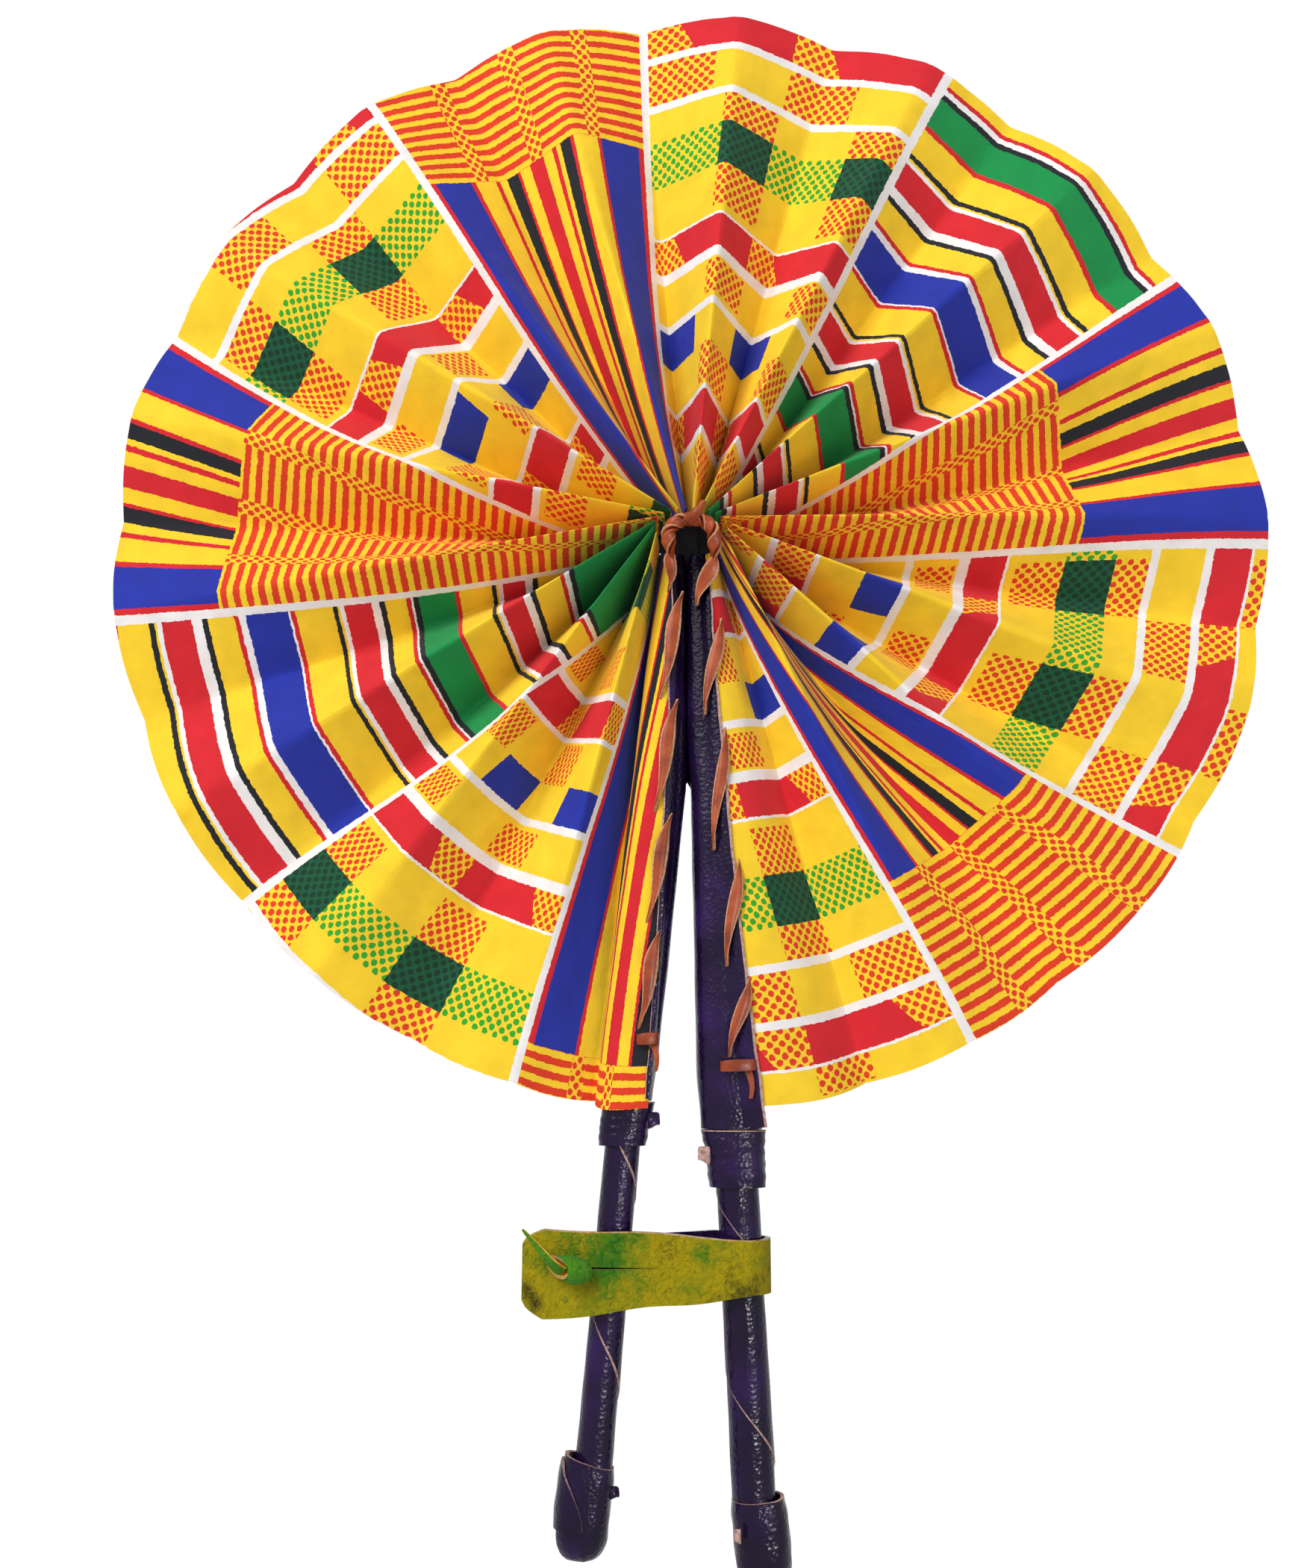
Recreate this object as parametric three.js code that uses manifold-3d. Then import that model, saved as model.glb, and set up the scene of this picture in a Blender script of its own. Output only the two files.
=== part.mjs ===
// A folding hand fan: a pleated cotton leaf laced between two leather-covered sticks.
// Millimetres, +Z up, the front of the open leaf faces -Y. Shapes are laid out round the hub,
// and the outer group moves the hub so that the origin is the hand grip on the fixed stick.
import * as THREE from 'three';
import { mergeVertices } from 'three/addons/utils/BufferGeometryUtils.js';
import Module from 'manifold-3d';

const wasm = await Module();
wasm.setup();

const degree = Math.PI / 180;
const clearance = 0.3;            // gap kept between pieces that touch

// Leaf
const panelCount = 34;            // flat strips of cloth between folds
const leafInnerRadius = 9.3;      // gathered edge at the hub
const leafOuterRadius = 151;      // cut edge at the rim
const clothThickness = 0.5;
const hubFoldDepth = 13.5;        // how far a fold stands in front of or behind the leaf, at the hub
const rimFoldDepth = 3.8;         // and at the rim
const sideFoldHubDepth = 8;       // the same for the folds beside the two sticks
const sideFoldRimDepth = 3.2;
const foldBow = 1.2;              // how much a fold swells at half its length
const hubFoldSeat = 0.4;          // half the room between two strips at a fold, hub and rim
const rimFoldSeat = 0.2;
const firstPleatAngle = 16.5;     // degrees clockwise from straight down, seen from the front
const lastPleatAngle = 333.3;
const swingSideFoldAngle = 8.5;
const fixedSideFoldAngle = 343.5;
const hubHalfTurn = 124;          // degrees either side of straight up that the folds take up at the hub
const hubEvenShare = 0.8;         // the rest of the hub angle grows toward the two sticks
const panelRows = 8;              // steps of a strip's surface from the hub to the rim
const panelColumns = 2;           // and across it
const sidePanelColumns = 4;

// Leather
const wrapWall = 0.8;
const wrapLap = 0.35;             // step where one turn of the wrapping laps the next
const wrapPitch = 53;
const laceThickness = 0.9;
const laceWidth = 3;
const hubLaceRadius = 1.7;
const hubLaceSpan = 5.9;          // half the width of the lace's arch over the hub
const hubLaceFront = 11;
const hubLaceFoot = 7.6;
const hubLaceFootFront = 8.6;

// Sticks: heights are measured down from the hub, and a section's centre and half width along X
const fixedHandle = {
  axisAtHub: 3.35, lean: 2.72, topRadius: 1, footRadius: 4.1, top: 16, foot: 253,
  sleeve: [
    { drop: 9.5, centre: 3.2, halfWidth: 1.9, halfDepth: 2.8 },
    { drop: 35, centre: 5.2, halfWidth: 4, halfDepth: 4.2 },
    { drop: 80, centre: 7.4, halfWidth: 6.1, halfDepth: 5.6 },
    { drop: leafOuterRadius + 4.5, centre: 10.4, halfWidth: 7.6, halfDepth: 5.6 },
  ],
  collar: { foot: leafOuterRadius + 18, halfWidth: 7, halfDepth: 6.3, flare: 0.5 },
  cap: { top: 238, foot: 256, halfWidth: 6.3, halfDepth: 5.9, lean: 1.4, tip: 3.6 },
  edge: { hubX: 4.2, hubDrop: 10.5, rimX: 17.4, corner: 0.62, swellX: 0, swellY: 1 },
  tuft: { drop: leafOuterRadius + 9.5, side: -1 },
  lapDrop: leafOuterRadius + 25.5,    // where the wrapping's lap crosses the stick's left side
  stitches: { top: 10, first: 25, pitch: 31.5, count: 4, length: 27, upperX: 3, lowerX: -3.4,
    keeper: leafOuterRadius - 11 },
};
const swingHandle = {
  axisAtHub: -3.1, lean: -4.75, topRadius: 1, footRadius: 3.3, top: 16, foot: 249,
  sleeve: [
    { drop: 9.5, centre: -3.2, halfWidth: 1.9, halfDepth: 2.8 },
    { drop: 35, centre: -4.9, halfWidth: 4.3, halfDepth: 3.9 },
    { drop: 72, centre: -7.2, halfWidth: 6.4, halfDepth: 4.7 },
    { drop: leafOuterRadius - 2, centre: -14.9, halfWidth: 6.1, halfDepth: 4.9 },
  ],
  collar: { foot: leafOuterRadius + 8.5, halfWidth: 5.9, halfDepth: 5.4, flare: 0.5 },
  cap: { top: 229, foot: 252, halfWidth: 6.5, halfDepth: 5.2, lean: -1.6, tip: 2.6 },
  edge: { hubX: -4.2, hubDrop: 10.5, rimX: -12.4, corner: 1, swellX: -2.2, swellY: 2.2 },
  tuft: { drop: leafOuterRadius + 2, side: 1 },
  lapDrop: leafOuterRadius - 2.5,
  stitches: { top: 10, first: 19, pitch: 30, count: 4, length: 24, upperX: 3.2, lowerX: -1.6,
    keeper: leafOuterRadius - 17 },
};

// Strap that buttons the sticks together
const strapThickness = 1.2;
const strapTop = 180;             // at its fold round the fixed stick
const strapBottom = 191.8;
const strapFreeTop = 177.8;       // at its free, rounded end
const strapFreeBottom = 198.4;
const strapFreeX = -38.8;
const strapFrontGap = 0.55;       // between the stick's wrapping and the strap
const strapHingeX = 14.2;         // where the free flap begins to lift
const backRunX = -33;
const buttonX = -27.7;
const buttonDrop = 187;
const shankRadius = 1.5;
const slitEndX = -5.3;
const slitHeight = 1.1;
const buttonHeadRadius = 2.9;
const buttonHeadLength = 9.5;
const backKnobRadius = 3.4;
const backKnobThickness = 1.6;

// Place of the hub seen from the hand grip on the fixed stick's axis
const gripDrop = 212;
const gripX = fixedHandle.axisAtHub + gripDrop * Math.tan(fixedHandle.lean * degree);

const leather = new THREE.MeshStandardMaterial({ color: 0x33204f, roughness: 0.42, metalness: 0 });
const tanLace = new THREE.MeshStandardMaterial({ color: 0xa9532f, roughness: 0.6, metalness: 0 });
const suede = new THREE.MeshStandardMaterial({ color: 0x8f981c, roughness: 0.85, metalness: 0 });
const knotLeather = new THREE.MeshStandardMaterial({ color: 0x3e8e1e, roughness: 0.7, metalness: 0 });
const wood = new THREE.MeshStandardMaterial({ color: 0xb08a58, roughness: 0.7, metalness: 0 });
const cotton = new THREE.MeshStandardMaterial({ color: 0xf6c92b, roughness: 0.9, metalness: 0 });

const lerp = THREE.MathUtils.lerp;
const point = (x, y, z) => new THREE.Vector3(x, y, z);

function outward(geometry) {
  const p = geometry.attributes.position;
  const index = geometry.index.array;
  const corner = [point(), point(), point()];
  let volume = 0;
  for (let i = 0; i < index.length; i += 3) {
    corner.forEach((c, k) => c.fromBufferAttribute(p, index[i + k]));
    volume += corner[0].dot(corner[1].clone().cross(corner[2])) / 6;
  }
  if (volume < 0) {
    for (let i = 0; i < index.length; i += 3) [index[i], index[i + 1]] = [index[i + 1], index[i]];
  }
  geometry.computeVertexNormals();
  return geometry;
}

function closedMesh(points, faces) {
  const geometry = new THREE.BufferGeometry().setFromPoints(points);
  geometry.setIndex(faces.flat());
  return outward(geometry);
}

// A solid through rings of equally many points, closed by a flat fan at each end
function loft(rings) {
  const count = rings[0].length;
  const points = rings.flat();
  const faces = [];
  for (let r = 0; r + 1 < rings.length; r += 1) {
    for (let i = 0; i < count; i += 1) {
      const a = r * count + i;
      const b = r * count + ((i + 1) % count);
      faces.push([a, b, b + count], [a, b + count, a + count]);
    }
  }
  for (const [start, flip] of [[0, true], [(rings.length - 1) * count, false]]) {
    const centre = points.push(rings[start / count].reduce((s, p) => s.add(p), point(0, 0, 0))
      .divideScalar(count)) - 1;
    for (let i = 0; i < count; i += 1) {
      const a = start + i;
      const b = start + ((i + 1) % count);
      faces.push(flip ? [b, a, centre] : [a, b, centre]);
    }
  }
  return closedMesh(points, faces);
}

function toSolid(geometry) {
  const bare = geometry.clone();
  bare.deleteAttribute('normal');
  bare.deleteAttribute('uv');
  const merged = mergeVertices(bare);
  return new wasm.Manifold(new wasm.Mesh({
    numProp: 3,
    vertProperties: merged.attributes.position.array,
    triVerts: new Uint32Array(merged.index.array),
  }));
}

function toGeometry(solid) {
  const mesh = solid.getMesh();
  const geometry = new THREE.BufferGeometry();
  geometry.setAttribute('position', new THREE.BufferAttribute(mesh.vertProperties, 3));
  geometry.setIndex(new THREE.BufferAttribute(mesh.triVerts, 1));
  geometry.computeVertexNormals();
  return geometry;
}

const cut = (body, ...tools) => toGeometry(tools.reduce((s, t) => s.subtract(toSolid(t)), toSolid(body)));
const join = (...bodies) => toGeometry(bodies.slice(1).reduce((s, b) => s.add(toSolid(b)), toSolid(bodies[0])));

// A level ring with round corners: flat in front and behind, round at its sides
function levelRing(x, y, z, halfWidth, halfDepth, steps = 4) {
  const corner = Math.min(halfWidth, halfDepth) * 0.88;
  const ring = [];
  for (const [sx, sy, from] of [[1, 1, 0], [-1, 1, 1], [-1, -1, 2], [1, -1, 3]]) {
    for (let i = 0; i <= steps; i += 1) {
      const a = (from + i / steps) * Math.PI / 2;
      ring.push(point(
        x + sx * (halfWidth - corner) + corner * Math.cos(a),
        y + sy * (halfDepth - corner) + corner * Math.sin(a),
        z,
      ));
    }
  }
  return ring;
}

function roundRing(centre, radius, sides) {
  return Array.from({ length: sides }, (_, i) => {
    const a = (i / sides) * 2 * Math.PI;
    return point(centre.x + radius * Math.cos(a), centre.y + radius * Math.sin(a), centre.z);
  });
}

const stickX = (handle, drop) => handle.axisAtHub + drop * Math.tan(handle.lean * degree);
const stickAt = (handle, drop) => point(stickX(handle, drop), 0, -drop);
const sleeveFoot = (handle) => handle.sleeve.at(-1).drop;

// The wooden stick tapers where it runs up inside the sleeve
function stickRadius(handle, drop) {
  const share = THREE.MathUtils.clamp((drop - handle.top) / (sleeveFoot(handle) - handle.top), 0, 1);
  return lerp(handle.topRadius, handle.footRadius, share);
}

function stickSolid(handle, grown, from, to) {
  const drops = [from, ...[sleeveFoot(handle)].filter((d) => d > from && d < to), to];
  return loft(drops.map((drop) => roundRing(stickAt(handle, drop), stickRadius(handle, drop) + grown, 20)));
}

// Half depth of the sleeve at a height, for what lies on its front
function sleeveDepth(handle, drop) {
  const s = handle.sleeve;
  const k = THREE.MathUtils.clamp(s.filter((e) => e.drop <= drop).length - 1, 0, s.length - 2);
  const share = THREE.MathUtils.clamp((drop - s[k].drop) / (s[k + 1].drop - s[k].drop), 0, 1);
  return lerp(s[k].halfDepth, s[k + 1].halfDepth, share);
}

function sleeveSolid(handle) {
  const outer = loft(handle.sleeve.map((s) => levelRing(s.centre, 0, -s.drop, s.halfWidth, s.halfDepth)));
  return cut(outer, stickSolid(handle, clearance, handle.top - clearance, sleeveFoot(handle) + 5));
}

function tuftSolid(handle) {
  const { drop, side } = handle.tuft;
  const x = stickX(handle, drop) + side * (handle.collar.halfWidth - 0.8);
  const rings = [[0, 1.3], [1.6, 1.2], [2.6, 0.9], [3.2, 0.4]].map(([out, radius]) =>
    roundRing(point(0, 0, out), radius, 8).map((p) => point(x + side * p.z, p.x, -drop + p.y)));
  return loft(rings);
}

// A leather band bound round the foot of the sleeve, with a cut end that stands out
function collarSolid(handle) {
  const { foot, halfWidth, halfDepth, flare } = handle.collar;
  const top = sleeveFoot(handle) + clearance;
  const middle = (top + foot) / 2;
  const ring = (drop, more) =>
    levelRing(stickX(handle, drop), 0, -drop, halfWidth + more, halfDepth + more);
  const band = loft([ring(top, -flare), ring(top + 1.5, 0), ring(middle, -flare * 0.6),
    ring(foot - 1.5, 0), ring(foot, -flare)]);
  const bore = stickSolid(handle, clearance, top - 1, foot + 1);
  return cut(join(band, tuftSolid(handle)), bore);
}

// Wrapping of one long strip: its outside steps down where a turn laps the next
function wrapSolid(handle) {
  const top = handle.collar.foot + clearance;
  const foot = handle.cap.top - clearance;
  const rows = 14;
  const sides = 20;
  const outer = handle.footRadius + clearance + wrapWall;
  const rings = Array.from({ length: rows + 1 }, (_, r) => {
    const drop = lerp(top, foot, r / rows);
    const centre = stickAt(handle, drop);
    return Array.from({ length: sides }, (_u, i) => {
      const a = (i / sides) * 2 * Math.PI;
      const share = THREE.MathUtils.euclideanModulo(i / sides - 0.5 - (drop - handle.lapDrop) / wrapPitch, 1);
      const radius = outer - wrapLap + wrapLap * share;
      return point(centre.x + radius * Math.cos(a), radius * Math.sin(a), centre.z);
    });
  });
  return cut(loft(rings), stickSolid(handle, clearance, top - 1, foot + 1));
}

// A leather cap over the foot of the stick, gathered to a blunt tip
function capSolid(handle) {
  const { top, foot, halfWidth, halfDepth, lean, tip } = handle.cap;
  const ring = (drop, width, depth, shift) =>
    levelRing(stickX(handle, drop) + shift, 0, -drop, width, depth);
  const tall = foot - top;
  const body = loft([
    ring(top, halfWidth - 0.5, halfDepth - 0.3, lean * 0.4),
    ring(top + tall * 0.12, halfWidth, halfDepth, lean * 0.6),
    ring(top + tall * 0.55, halfWidth * 0.96, halfDepth, lean),
    ring(top + tall * 0.85, lerp(halfWidth, tip, 0.45), halfDepth * 0.8, lean * 0.9),
    ring(foot, tip, halfDepth * 0.45, lean * 0.6),
  ]);
  return cut(body, stickSolid(handle, clearance, top - 1, handle.foot + clearance));
}

// Flat outlines are drawn in the XZ plane, as [x, drop], and given a thickness along Y
function plate(outline, back, thickness, holes = []) {
  const shape = new THREE.Shape(outline.map(([x, drop]) => new THREE.Vector2(x, -drop)));
  holes.forEach((hole) => shape.holes.push(hole));
  const geometry = new THREE.ExtrudeGeometry(shape, { depth: thickness, bevelEnabled: false, curveSegments: 10 });
  return geometry.rotateX(Math.PI / 2).translate(0, back, 0);
}

// One whip stitch: a lens of leather that is broad a third of the way along
function stitchOutline([x0, drop0], [x1, drop1], width) {
  const along = new THREE.Vector2(x1 - x0, drop1 - drop0);
  const side = new THREE.Vector2(-along.y, along.x).normalize().multiplyScalar(width / 2);
  const stations = [[0, 0.45], [0.3, 1], [0.7, 0.85], [1, 0.3]];
  const edge = (sign) => stations.map(([t, share]) =>
    [x0 + along.x * t + sign * side.x * share, drop0 + along.y * t + sign * side.y * share]);
  return [...edge(1), ...edge(-1).reverse()];
}

const edgeX = (handle, drop) => lerp(handle.edge.hubX, handle.edge.rimX,
  (drop - handle.edge.hubDrop) / (leafOuterRadius - handle.edge.hubDrop));
const clothFront = (handle, drop) => sleeveDepth(handle, drop) + 2 * clearance + 0.1 + clothThickness;

// The lace that whips the cloth to the sleeve: long slanting stitches with short returns
function lacingSolid(handle) {
  const { top, first, pitch, count, length, upperX, lowerX } = handle.stitches;
  const pieces = [];
  const lay = (from, to, width) => {
    const stitch = plate(stitchOutline(from, to, width), 0, laceThickness);
    const p = stitch.attributes.position;
    for (let i = 0; i < p.count; i += 1) p.setY(i, p.getY(i) - clothFront(handle, -p.getZ(i)) - 1.5 * clearance);
    pieces.push(stitch);
  };
  const upper = (n) => [edgeX(handle, first + n * pitch) + upperX, first + n * pitch];
  const lower = (n) => [edgeX(handle, first + n * pitch + length) + lowerX, first + n * pitch + length];
  lay([edgeX(handle, top), top], upper(0), laceWidth);
  for (let n = 0; n < count; n += 1) {
    lay(upper(n), lower(n), laceWidth);
    if (n + 1 < count) lay([lower(n)[0] - 0.4, lower(n)[1] - 1.5], upper(n + 1), laceWidth * 1.3);
  }
  return join(...pieces);
}

// A short band round the lace's end, with a tail
function keeperSolid(handle) {
  const { keeper, lowerX } = handle.stitches;
  const middle = edgeX(handle, keeper) + lowerX + 2;
  const back = -clothFront(handle, keeper) - laceThickness - 2.5 * clearance;
  const band = plate([[middle - 3.6, keeper - 1.3], [middle + 3.6, keeper - 1.3],
    [middle + 3.6, keeper + 1.3], [middle - 3.6, keeper + 1.3]], back, laceThickness);
  const tail = plate([[middle + 1.5, keeper + 0.5], [middle + 3.4, keeper + 0.5],
    [middle + 3.2, keeper + 7.5], [middle + 2.4, keeper + 7.5]], back, laceThickness);
  return join(band, tail);
}

function hubLaceSolid() {
  const leg = (side) => [
    point(side * hubLaceSpan * 0.8, -hubLaceFootFront, -hubLaceFoot),
    point(side * hubLaceSpan, -hubLaceFront + 0.6, -hubLaceFoot * 0.55),
    point(side * hubLaceSpan, -hubLaceFront, 0),
    point(side * hubLaceSpan * 0.72, -hubLaceFront, hubLaceSpan * 0.66),
  ];
  const path = new THREE.CatmullRomCurve3([...leg(-1), point(0, -hubLaceFront, hubLaceSpan * 0.95),
    ...leg(1).reverse()]);
  const section = new THREE.Shape(Array.from({ length: 8 }, (_, i) =>
    new THREE.Vector2(Math.cos((i / 8) * 2 * Math.PI), Math.sin((i / 8) * 2 * Math.PI))
      .multiplyScalar(hubLaceRadius)));
  return new THREE.ExtrudeGeometry(section, { steps: 18, extrudePath: path, bevelEnabled: false });
}

// How far in front of a sleeve's middle the cloth on it lies
const clothRest = (handle, drop) => sleeveDepth(handle, drop) + clearance + 0.15 + clothThickness / 2;

// Place of a fold's two ends. Fold 0 and the last are the cloth's ends, laced to the sleeves.
function foldEnds(i) {
  if (i === 0 || i === panelCount) {
    const handle = i === 0 ? swingHandle : fixedHandle;
    const { hubX, hubDrop, rimX } = handle.edge;
    const rimDrop = Math.sqrt(leafOuterRadius ** 2 - rimX ** 2);
    return [point(hubX, -clothRest(handle, hubDrop), -hubDrop),
      point(rimX, -clothRest(handle, rimDrop), -rimDrop)];
  }
  const beside = i === 1 || i === panelCount - 1;
  const share = (i - 2) / (panelCount - 4);
  const rimAngle = i === 1 ? swingSideFoldAngle
    : i === panelCount - 1 ? fixedSideFoldAngle : lerp(firstPleatAngle, lastPleatAngle, share);
  const sweep = (2 * i - panelCount) / (panelCount - 2);
  const hubAngle = 180 + hubHalfTurn * (hubEvenShare * sweep + (1 - hubEvenShare) * sweep ** 3);
  const front = i % 2 === 0 ? -1 : 1;
  const onDisc = (angle, radius, depth) =>
    point(-Math.sin(angle * degree) * radius, front * depth, -Math.cos(angle * degree) * radius);
  return [onDisc(hubAngle, leafInnerRadius, beside ? sideFoldHubDepth : hubFoldDepth),
    onDisc(rimAngle, leafOuterRadius, beside ? sideFoldRimDepth : rimFoldDepth)];
}

function foldPoint(i, share) {
  const [hub, rim] = foldEnds(i);
  const p = hub.clone().lerp(rim, share);
  if (i === 0) p.y = -clothRest(swingHandle, -p.z);
  if (i === panelCount) p.y = -clothRest(fixedHandle, -p.z);
  if (i > 1 && i < panelCount - 1) p.y += (i % 2 === 0 ? -1 : 1) * foldBow * 4 * share * (1 - share);
  return p;
}

// The way across a fold, in the plane of the leaf, toward the next one clockwise
function acrossFold(i) {
  const [hub, rim] = foldEnds(i);
  const along = rim.clone().sub(hub).setY(0).normalize();
  return point(along.z, 0, -along.x);
}

// The corner a strip's curve turns toward on its way from the front of a sleeve to the first fold
function roundSleeve(handle, a, b, share) {
  const [edge, fold] = handle === swingHandle ? [a, b] : [b, a];
  const swell = 1 - (1 - share) ** 3;
  const { corner, swellX, swellY } = handle.edge;
  return point(lerp(edge.x, fold.x, corner) + swellX * swell, edge.y - swellY * swell, (a.z + b.z) / 2);
}

// One strip of cloth between two folds, swelling round the sleeve when it is the outermost
function panelSolid(k) {
  const outermost = k === 1 || k === panelCount;
  const columns = outermost ? sidePanelColumns : panelColumns;
  const middle = [];
  for (let r = 0; r <= panelRows; r += 1) {
    const share = r / panelRows;
    const a = foldPoint(k - 1, share);
    const b = foldPoint(k, share);
    const seat = lerp(hubFoldSeat, rimFoldSeat, share);
    if (k > 1) a.addScaledVector(acrossFold(k - 1), seat);
    if (k < panelCount) b.addScaledVector(acrossFold(k), -seat);
    const bend = outermost ? roundSleeve(k === 1 ? swingHandle : fixedHandle, a, b, share) : null;
    middle.push(Array.from({ length: columns + 1 }, (_, c) => {
      const t = c / columns;
      return outermost ? new THREE.QuadraticBezierCurve3(a, bend, b).getPoint(t)
        : a.clone().lerp(b, t);
    }));
  }
  return sheetSolid(middle, clothThickness);
}

// A sheet of even thickness over a grid of points
function sheetSolid(grid, thickness) {
  const rows = grid.length;
  const columns = grid[0].length;
  const normalAt = (r, c) => {
    const along = grid[Math.min(r + 1, rows - 1)][c].clone().sub(grid[Math.max(r - 1, 0)][c]);
    const across = grid[r][Math.min(c + 1, columns - 1)].clone().sub(grid[r][Math.max(c - 1, 0)]);
    return along.cross(across).normalize();
  };
  const points = [];
  for (const side of [1, -1]) {
    grid.forEach((row, r) => row.forEach((p, c) =>
      points.push(p.clone().addScaledVector(normalAt(r, c), side * thickness / 2))));
  }
  const at = (side, r, c) => side * rows * columns + r * columns + c;
  const faces = [];
  const quad = (a, b, c, d) => faces.push([a, b, c], [a, c, d]);
  for (let r = 0; r + 1 < rows; r += 1) {
    for (let c = 0; c + 1 < columns; c += 1) {
      quad(at(0, r, c), at(0, r, c + 1), at(0, r + 1, c + 1), at(0, r + 1, c));
      quad(at(1, r, c), at(1, r + 1, c), at(1, r + 1, c + 1), at(1, r, c + 1));
    }
    quad(at(0, r + 1, 0), at(1, r + 1, 0), at(1, r, 0), at(0, r, 0));
    quad(at(0, r, columns - 1), at(1, r, columns - 1), at(1, r + 1, columns - 1), at(0, r + 1, columns - 1));
  }
  for (let c = 0; c + 1 < columns; c += 1) {
    quad(at(1, 0, c), at(1, 0, c + 1), at(0, 0, c + 1), at(0, 0, c));
    quad(at(0, rows - 1, c), at(0, rows - 1, c + 1), at(1, rows - 1, c + 1), at(1, rows - 1, c));
  }
  return closedMesh(points, faces);
}

// Strap: it folds round the fixed stick, runs behind both sticks, and its flap buttons in front
const strapDrop = (strapTop + strapBottom) / 2;
const strapStickX = stickX(fixedHandle, strapDrop);
const wrapOutside = fixedHandle.footRadius + clearance + wrapWall;
const strapInner = wrapOutside + strapFrontGap;
const strapOuter = strapInner + strapThickness;

// Top and bottom edges spread evenly from the fold to the free end
const strapEdge = (x) => {
  const share = (strapHingeX - x) / (strapHingeX - strapFreeX);
  return [lerp(strapTop, strapFreeTop, share), lerp(strapBottom, strapFreeBottom, share)];
};

// The hole the button's shank goes through, as a tool that reaches across a strap at this depth
function eyeTool(front) {
  const radius = shankRadius + clearance;
  const rim = Array.from({ length: 12 }, (_, i) => {
    const a = (i / 12) * 2 * Math.PI;
    return [buttonX + radius * Math.cos(a), buttonDrop + radius * Math.sin(a)];
  });
  return plate(rim, front + strapThickness + 1, strapThickness + 2);
}

function flapSolid() {
  const start = strapHingeX - clearance;
  const rounding = 5;
  const shoulder = strapFreeX + rounding;
  const [shoulderTop, shoulderBottom] = strapEdge(shoulder);
  const outline = [[start, strapEdge(start)[1]], [shoulder, shoulderBottom]];
  for (let i = 1; i < 8; i += 1) {
    const a = (i / 8) * Math.PI;
    outline.push([shoulder - rounding * Math.sin(a),
      lerp(shoulderBottom, shoulderTop, (1 - Math.cos(a)) / 2)]);
  }
  outline.push([shoulder, shoulderTop], [start, strapEdge(start)[0]]);
  const flap = plate(outline, -strapInner, strapThickness);
  const slit = plate([[buttonX, buttonDrop - slitHeight / 2], [slitEndX, buttonDrop - slitHeight / 2],
    [slitEndX, buttonDrop + slitHeight / 2], [buttonX, buttonDrop + slitHeight / 2]],
  -strapInner + 1, strapThickness + 2);
  return cut(flap, eyeTool(-strapOuter), slit);
}

// The fold of the strap, which stays round the fixed stick
function bandSolid() {
  const half = Math.acos((strapHingeX - strapStickX) / strapInner);
  const arc = Array.from({ length: 11 }, (_, i) => half * (i / 5 - 1));
  const curve = (radius) => arc.map((a) =>
    new THREE.Vector2(strapStickX + radius * Math.cos(a), radius * Math.sin(a)));
  const section = new THREE.Shape([...curve(strapOuter), ...curve(strapInner).reverse()]);
  return new THREE.ExtrudeGeometry(section, { depth: strapBottom - strapTop, bevelEnabled: false })
    .translate(0, 0, -strapBottom);
}

// The run behind the sticks, which carries the button
function backRunSolid() {
  const start = strapHingeX - clearance;
  const [endTop, endBottom] = strapEdge(backRunX);
  const run = plate([[start, strapEdge(start)[1]], [backRunX + 2, strapEdge(backRunX + 2)[1]],
    [backRunX, endBottom - 3], [backRunX, endTop + 3], [backRunX + 2, strapEdge(backRunX + 2)[0]],
    [start, strapEdge(start)[0]]], strapOuter, strapThickness);
  return cut(run, eyeTool(strapInner));
}

// A rolled leather button: head in front of the flap, shank through both runs, knob behind
function buttonSolid() {
  const headY = -strapOuter - clearance - buttonHeadRadius;
  const shank = new THREE.CylinderGeometry(shankRadius, shankRadius, strapOuter + clearance - headY + 1, 12)
    .translate(buttonX, (strapOuter + clearance + 1 + headY) / 2, -buttonDrop);
  const head = new THREE.CapsuleGeometry(buttonHeadRadius, buttonHeadLength - 2 * buttonHeadRadius, 4, 14)
    .rotateZ(Math.PI / 2).rotateY(-0.25).translate(buttonX, headY, -buttonDrop);
  const knob = new THREE.CylinderGeometry(backKnobRadius, backKnobRadius * 0.8, backKnobThickness, 14)
    .translate(buttonX, strapOuter + clearance + backKnobThickness / 2, -buttonDrop);
  const tail = plate([[buttonX - 1.5, buttonDrop - 0.5], [buttonX - 3.8, buttonDrop + 0.2],
    [strapFreeX - 0.8, strapFreeTop + 0.3], [buttonX - 4, buttonDrop - 5.5]],
  -strapOuter - clearance - 0.6, 1);
  return join(head, shank, knob, tail);
}

const fan = new THREE.Group();
const hub = new THREE.Group();
hub.position.set(-gripX, 0, gripDrop);
fan.add(hub);

function add(name, geometry, material) {
  const mesh = new THREE.Mesh(geometry, material);
  mesh.name = name;
  hub.add(mesh);
}

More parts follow.
